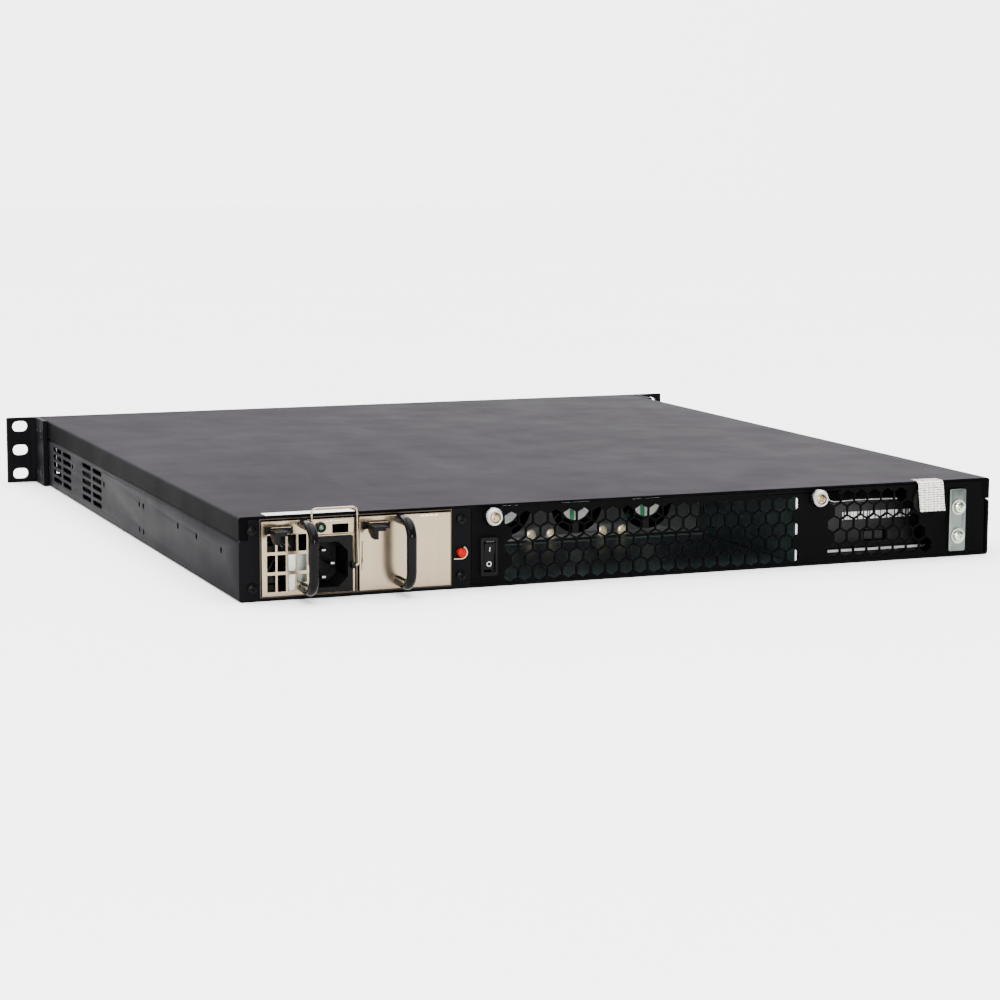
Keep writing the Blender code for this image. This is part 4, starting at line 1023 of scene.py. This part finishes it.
def front_details():
    """Jacks, sockets, display window, keys and lamps on the front panel."""
    jack_details("port_block", lambda level: level > 20)
    jack_details("console_block", lambda level: True)
    x, y, z = span("usb_block")
    refined("usb_block", "alloy", 0.2)
    for number, level in enumerate((13.4, 21.2)):
        tongue = Sketch().box((mid(x) - 5.6, mid(x) + 5.6), (y[0] + 1.6, y[0] + 11.4),
                              (level + 0.3, level + 2.1))
        piece(f"usb_tongue_{number}", tongue, "white", "chassis", 0.15)
    x, y, z = span("optics_cage")
    refined("optics_cage", "alloy", 0.2)
    ports = 5
    pitch = (x[1] - x[0]) / ports
    bow = arc((FRONT + 3.0, z[1] - 1.6), 1.0, 0, 180, 6)
    springs = Sketch()
    for i in range(ports):
        centre = x[0] + pitch * (i + 0.5)
        for j in range(4):
            across = centre - 4.8 + j * 3.2
            springs.prism(bow, "x", across - 1.0, across + 1.0)
    piece("optics_springs", springs, "steel", "expansion")
    x, y, z = span("display_module")
    window = Sketch().box((x[0] + 4.2, x[1] - 4.2), (FRONT + 0.25, FRONT + 0.9),
                          (z[0] + 3.2, z[1] - 3.2))
    piece("display_glass", window, "window", "chassis", 0.2)
    for node in ("key_up", "key_down", "key_enter", "key_back"):
        front_key(node)
    refined("status_lamp_pipe", "clear_lens", 0.1)


def front_key(node):
    """A dished round key with a printed arrow."""
    x, y, z = span(node)
    centre, radius = (mid(x), mid(z)), 3.4
    profile = [(0, y[1]), (4.5, y[1]), (4.5, y[1] - 1.2), (radius, y[1] - 1.3),
               (radius, y[0] + 0.7), (radius - 0.2, y[0] + 0.25), (radius - 0.8, y[0]),
               (radius - 1.6, y[0] + 0.25), (0, y[0] + 0.45)]
    body = body_of_node[node]
    piece(f"{node}_cap", Sketch().lathe(profile, centre, "y"), "plastic", body,
          hides=[node])
    arrow = {"key_up": 90, "key_down": 270, "key_enter": 0, "key_back": 180}[node]
    triangle = circle(centre, 0.9, 3, math.radians(arrow))
    mark = Sketch().prism(triangle, "y", y[0] + 0.22, y[0] + 0.42)
    piece(f"{node}_mark", mark, "mark", body)


# ---- inside the front half ----

def board_details():
    """Small chips scattered over the mainboard, clear of the heat sink, and capacitors."""
    for node in ("mainboard", "expansion_board", "psu_board"):
        refined(node, "board", 0.2)
    x, y, _ = span("mainboard")
    chips, cans = Sketch(), Sketch()
    top = 9.1
    for _ in range(26):
        a, b = rng.uniform(x[0] + 12, x[1] - 40), rng.uniform(y[0] + 20, y[1] - 20)
        size = rng.choice((4.0, 6.0, 8.0, 11.0))
        if -140 < a < -12:
            continue
        chips.box((a, a + size), (b, b + size * 0.8), (top, top + 1.1))
    for i in range(8):
        cans.lathe([(0, top), (3.1, top), (3.1, top + 8.6), (2.8, top + 9.0), (0, top + 9.0)],
                   (-150.0, y[0] + 130 + i * 8.0), "z", 20)
    piece("board_chips", chips, "chip", "chassis", 0.15)
    piece("board_capacitors", cans, "steel", "chassis", 0.1)
    for node in ("memory_module_1", "memory_module_2", "power_backplane"):
        refined(node, "board", 0.15)
    refined("cpu_heatsink", "alloy", 0.15)


def ear_screws():
    """Low countersunk heads where each ear's bracket meets the wall."""
    face = 222.5
    places = [(along, level) for along in (13.0, 22.5) for level in (9.0, 34.5)]
    for side, node in ((1, "rack_ear_right"), (-1, "rack_ear_left")):
        for number, (along, level) in enumerate(places):
            screw(f"{node}_screw_{number}", (side * face, FRONT + along, level), (side, 0, 0), 2.7,
                  "plastic", "chassis", 0.7)


# ---- stage ----

def stage():
    half = 6000
    floor = add_object("floor", closed_mesh("floor", Sketch().box((-half, half), (-half, half),
                                                                  (-20.0, -0.05))))
    look = Look("floor_paper", roughness=0.9)
    look.colour(look.ramp(look.noise(3.0), [(0.3, (0.90, 0.90, 0.90)), (0.7, (0.92, 0.92, 0.92))]))
    floor.data.materials.append(look.material)


def area_light(name, place, aim, size, power):
    data = bpy.data.lights.new(name, "AREA")
    data.shape = "RECTANGLE"
    data.size, data.size_y = size
    data.energy = power
    obj = add_object(name, data)
    obj.location = place
    obj.rotation_euler = (Vector(aim) - Vector(place)).to_track_quat("-Z", "Y").to_euler()


def lights():
    """A bright sweep beyond the object, a darker room behind the camera."""
    world = bpy.data.worlds.new("studio")
    bpy.context.scene.world = world
    world.use_nodes = True
    tree = world.node_tree
    direction = tree.nodes.new("ShaderNodeTexCoord").outputs["Generated"]
    split = tree.nodes.new("ShaderNodeSeparateXYZ")
    tree.links.new(direction, split.inputs["Vector"])
    turned = tree.nodes.new("ShaderNodeMapRange")
    turned.inputs["From Min"].default_value = -1.0
    tree.links.new(split.outputs["Y"], turned.inputs["Value"])
    ramp = tree.nodes.new("ShaderNodeValToRGB")
    fill_ramp(ramp, ((0.0, 1.0), (0.3, 0.75), (0.5, 0.3), (0.7, 0.08), (1.0, 0.02)))
    tree.links.new(turned.outputs["Result"], ramp.inputs["Fac"])
    background = tree.nodes["Background"]
    tree.links.new(ramp.outputs["Color"], background.inputs["Color"])
    background.inputs["Strength"].default_value = 5.0
    sun = bpy.data.lights.new("overhead", "SUN")
    sun.energy = 10.0
    sun.angle = math.radians(75)
    add_object("overhead", sun).rotation_euler = (math.radians(-6), 0.0, 0.0)
    area_light("side_box", (2.2, 0.9, 0.9), (0.1, 0.1, 0.0), (1.2, 0.9), 20)
    area_light("service_fill", (0.35, 2.4, 0.42), (-0.05, 0.1, 0.02), (0.5, 0.4), 62)


def camera():
    """A long lens near the service side, a little above the lid."""
    place = Vector((573.2, 1725.9 + FRONT + 3.0, 238.6)) * MM
    yaw, pitch, roll = 0.379, 0.14323, 0.004
    ahead = Vector((-math.sin(yaw) * math.cos(pitch), -math.cos(yaw) * math.cos(pitch),
                    -math.sin(pitch)))
    right = ahead.cross(Vector((0, 0, 1))).normalized()
    up = right.cross(ahead)
    turned_right = math.cos(roll) * right + math.sin(roll) * up
    turned_up = -math.sin(roll) * right + math.cos(roll) * up
    data = bpy.data.cameras.new("camera")
    sensor, lens_per_width = 36.0, 2.5951
    data.sensor_width = sensor
    data.lens = sensor * lens_per_width
    data.clip_start, data.clip_end = 0.05, 50.0
    obj = add_object("camera", data)
    axes = Matrix((turned_right, turned_up, -ahead)).transposed().to_4x4()
    obj.matrix_world = Matrix.Translation(place) @ axes
    bpy.context.scene.camera = obj


def build():
    camera()
    lights()
    stage()
    coat_parts()
    refine_sheets()
    strip_screws()
    u_bar("psu_handle", "supply_handle", "supply")
    u_bar("filler_handle", "filler_bar", "filler")
    latches()
    spring_fingers()
    mains_inlet()
    supply_lamp()
    cord_retainer()
    supply_inside()
    rear_buttons()
    for kind, facing in (("cover", 1), ("module", -1)):
        for i in (1, 2):
            knurled(f"{kind}_knob_{i}", f"{kind}_thumbscrew_{i}", facing, f"{kind}_screw_{i}")
    bonding()
    cover_strip()
    hanging_label()
    fan_details()
    drive_details()
    bay_liner()
    front_details()
    board_details()
    ear_screws()


build()
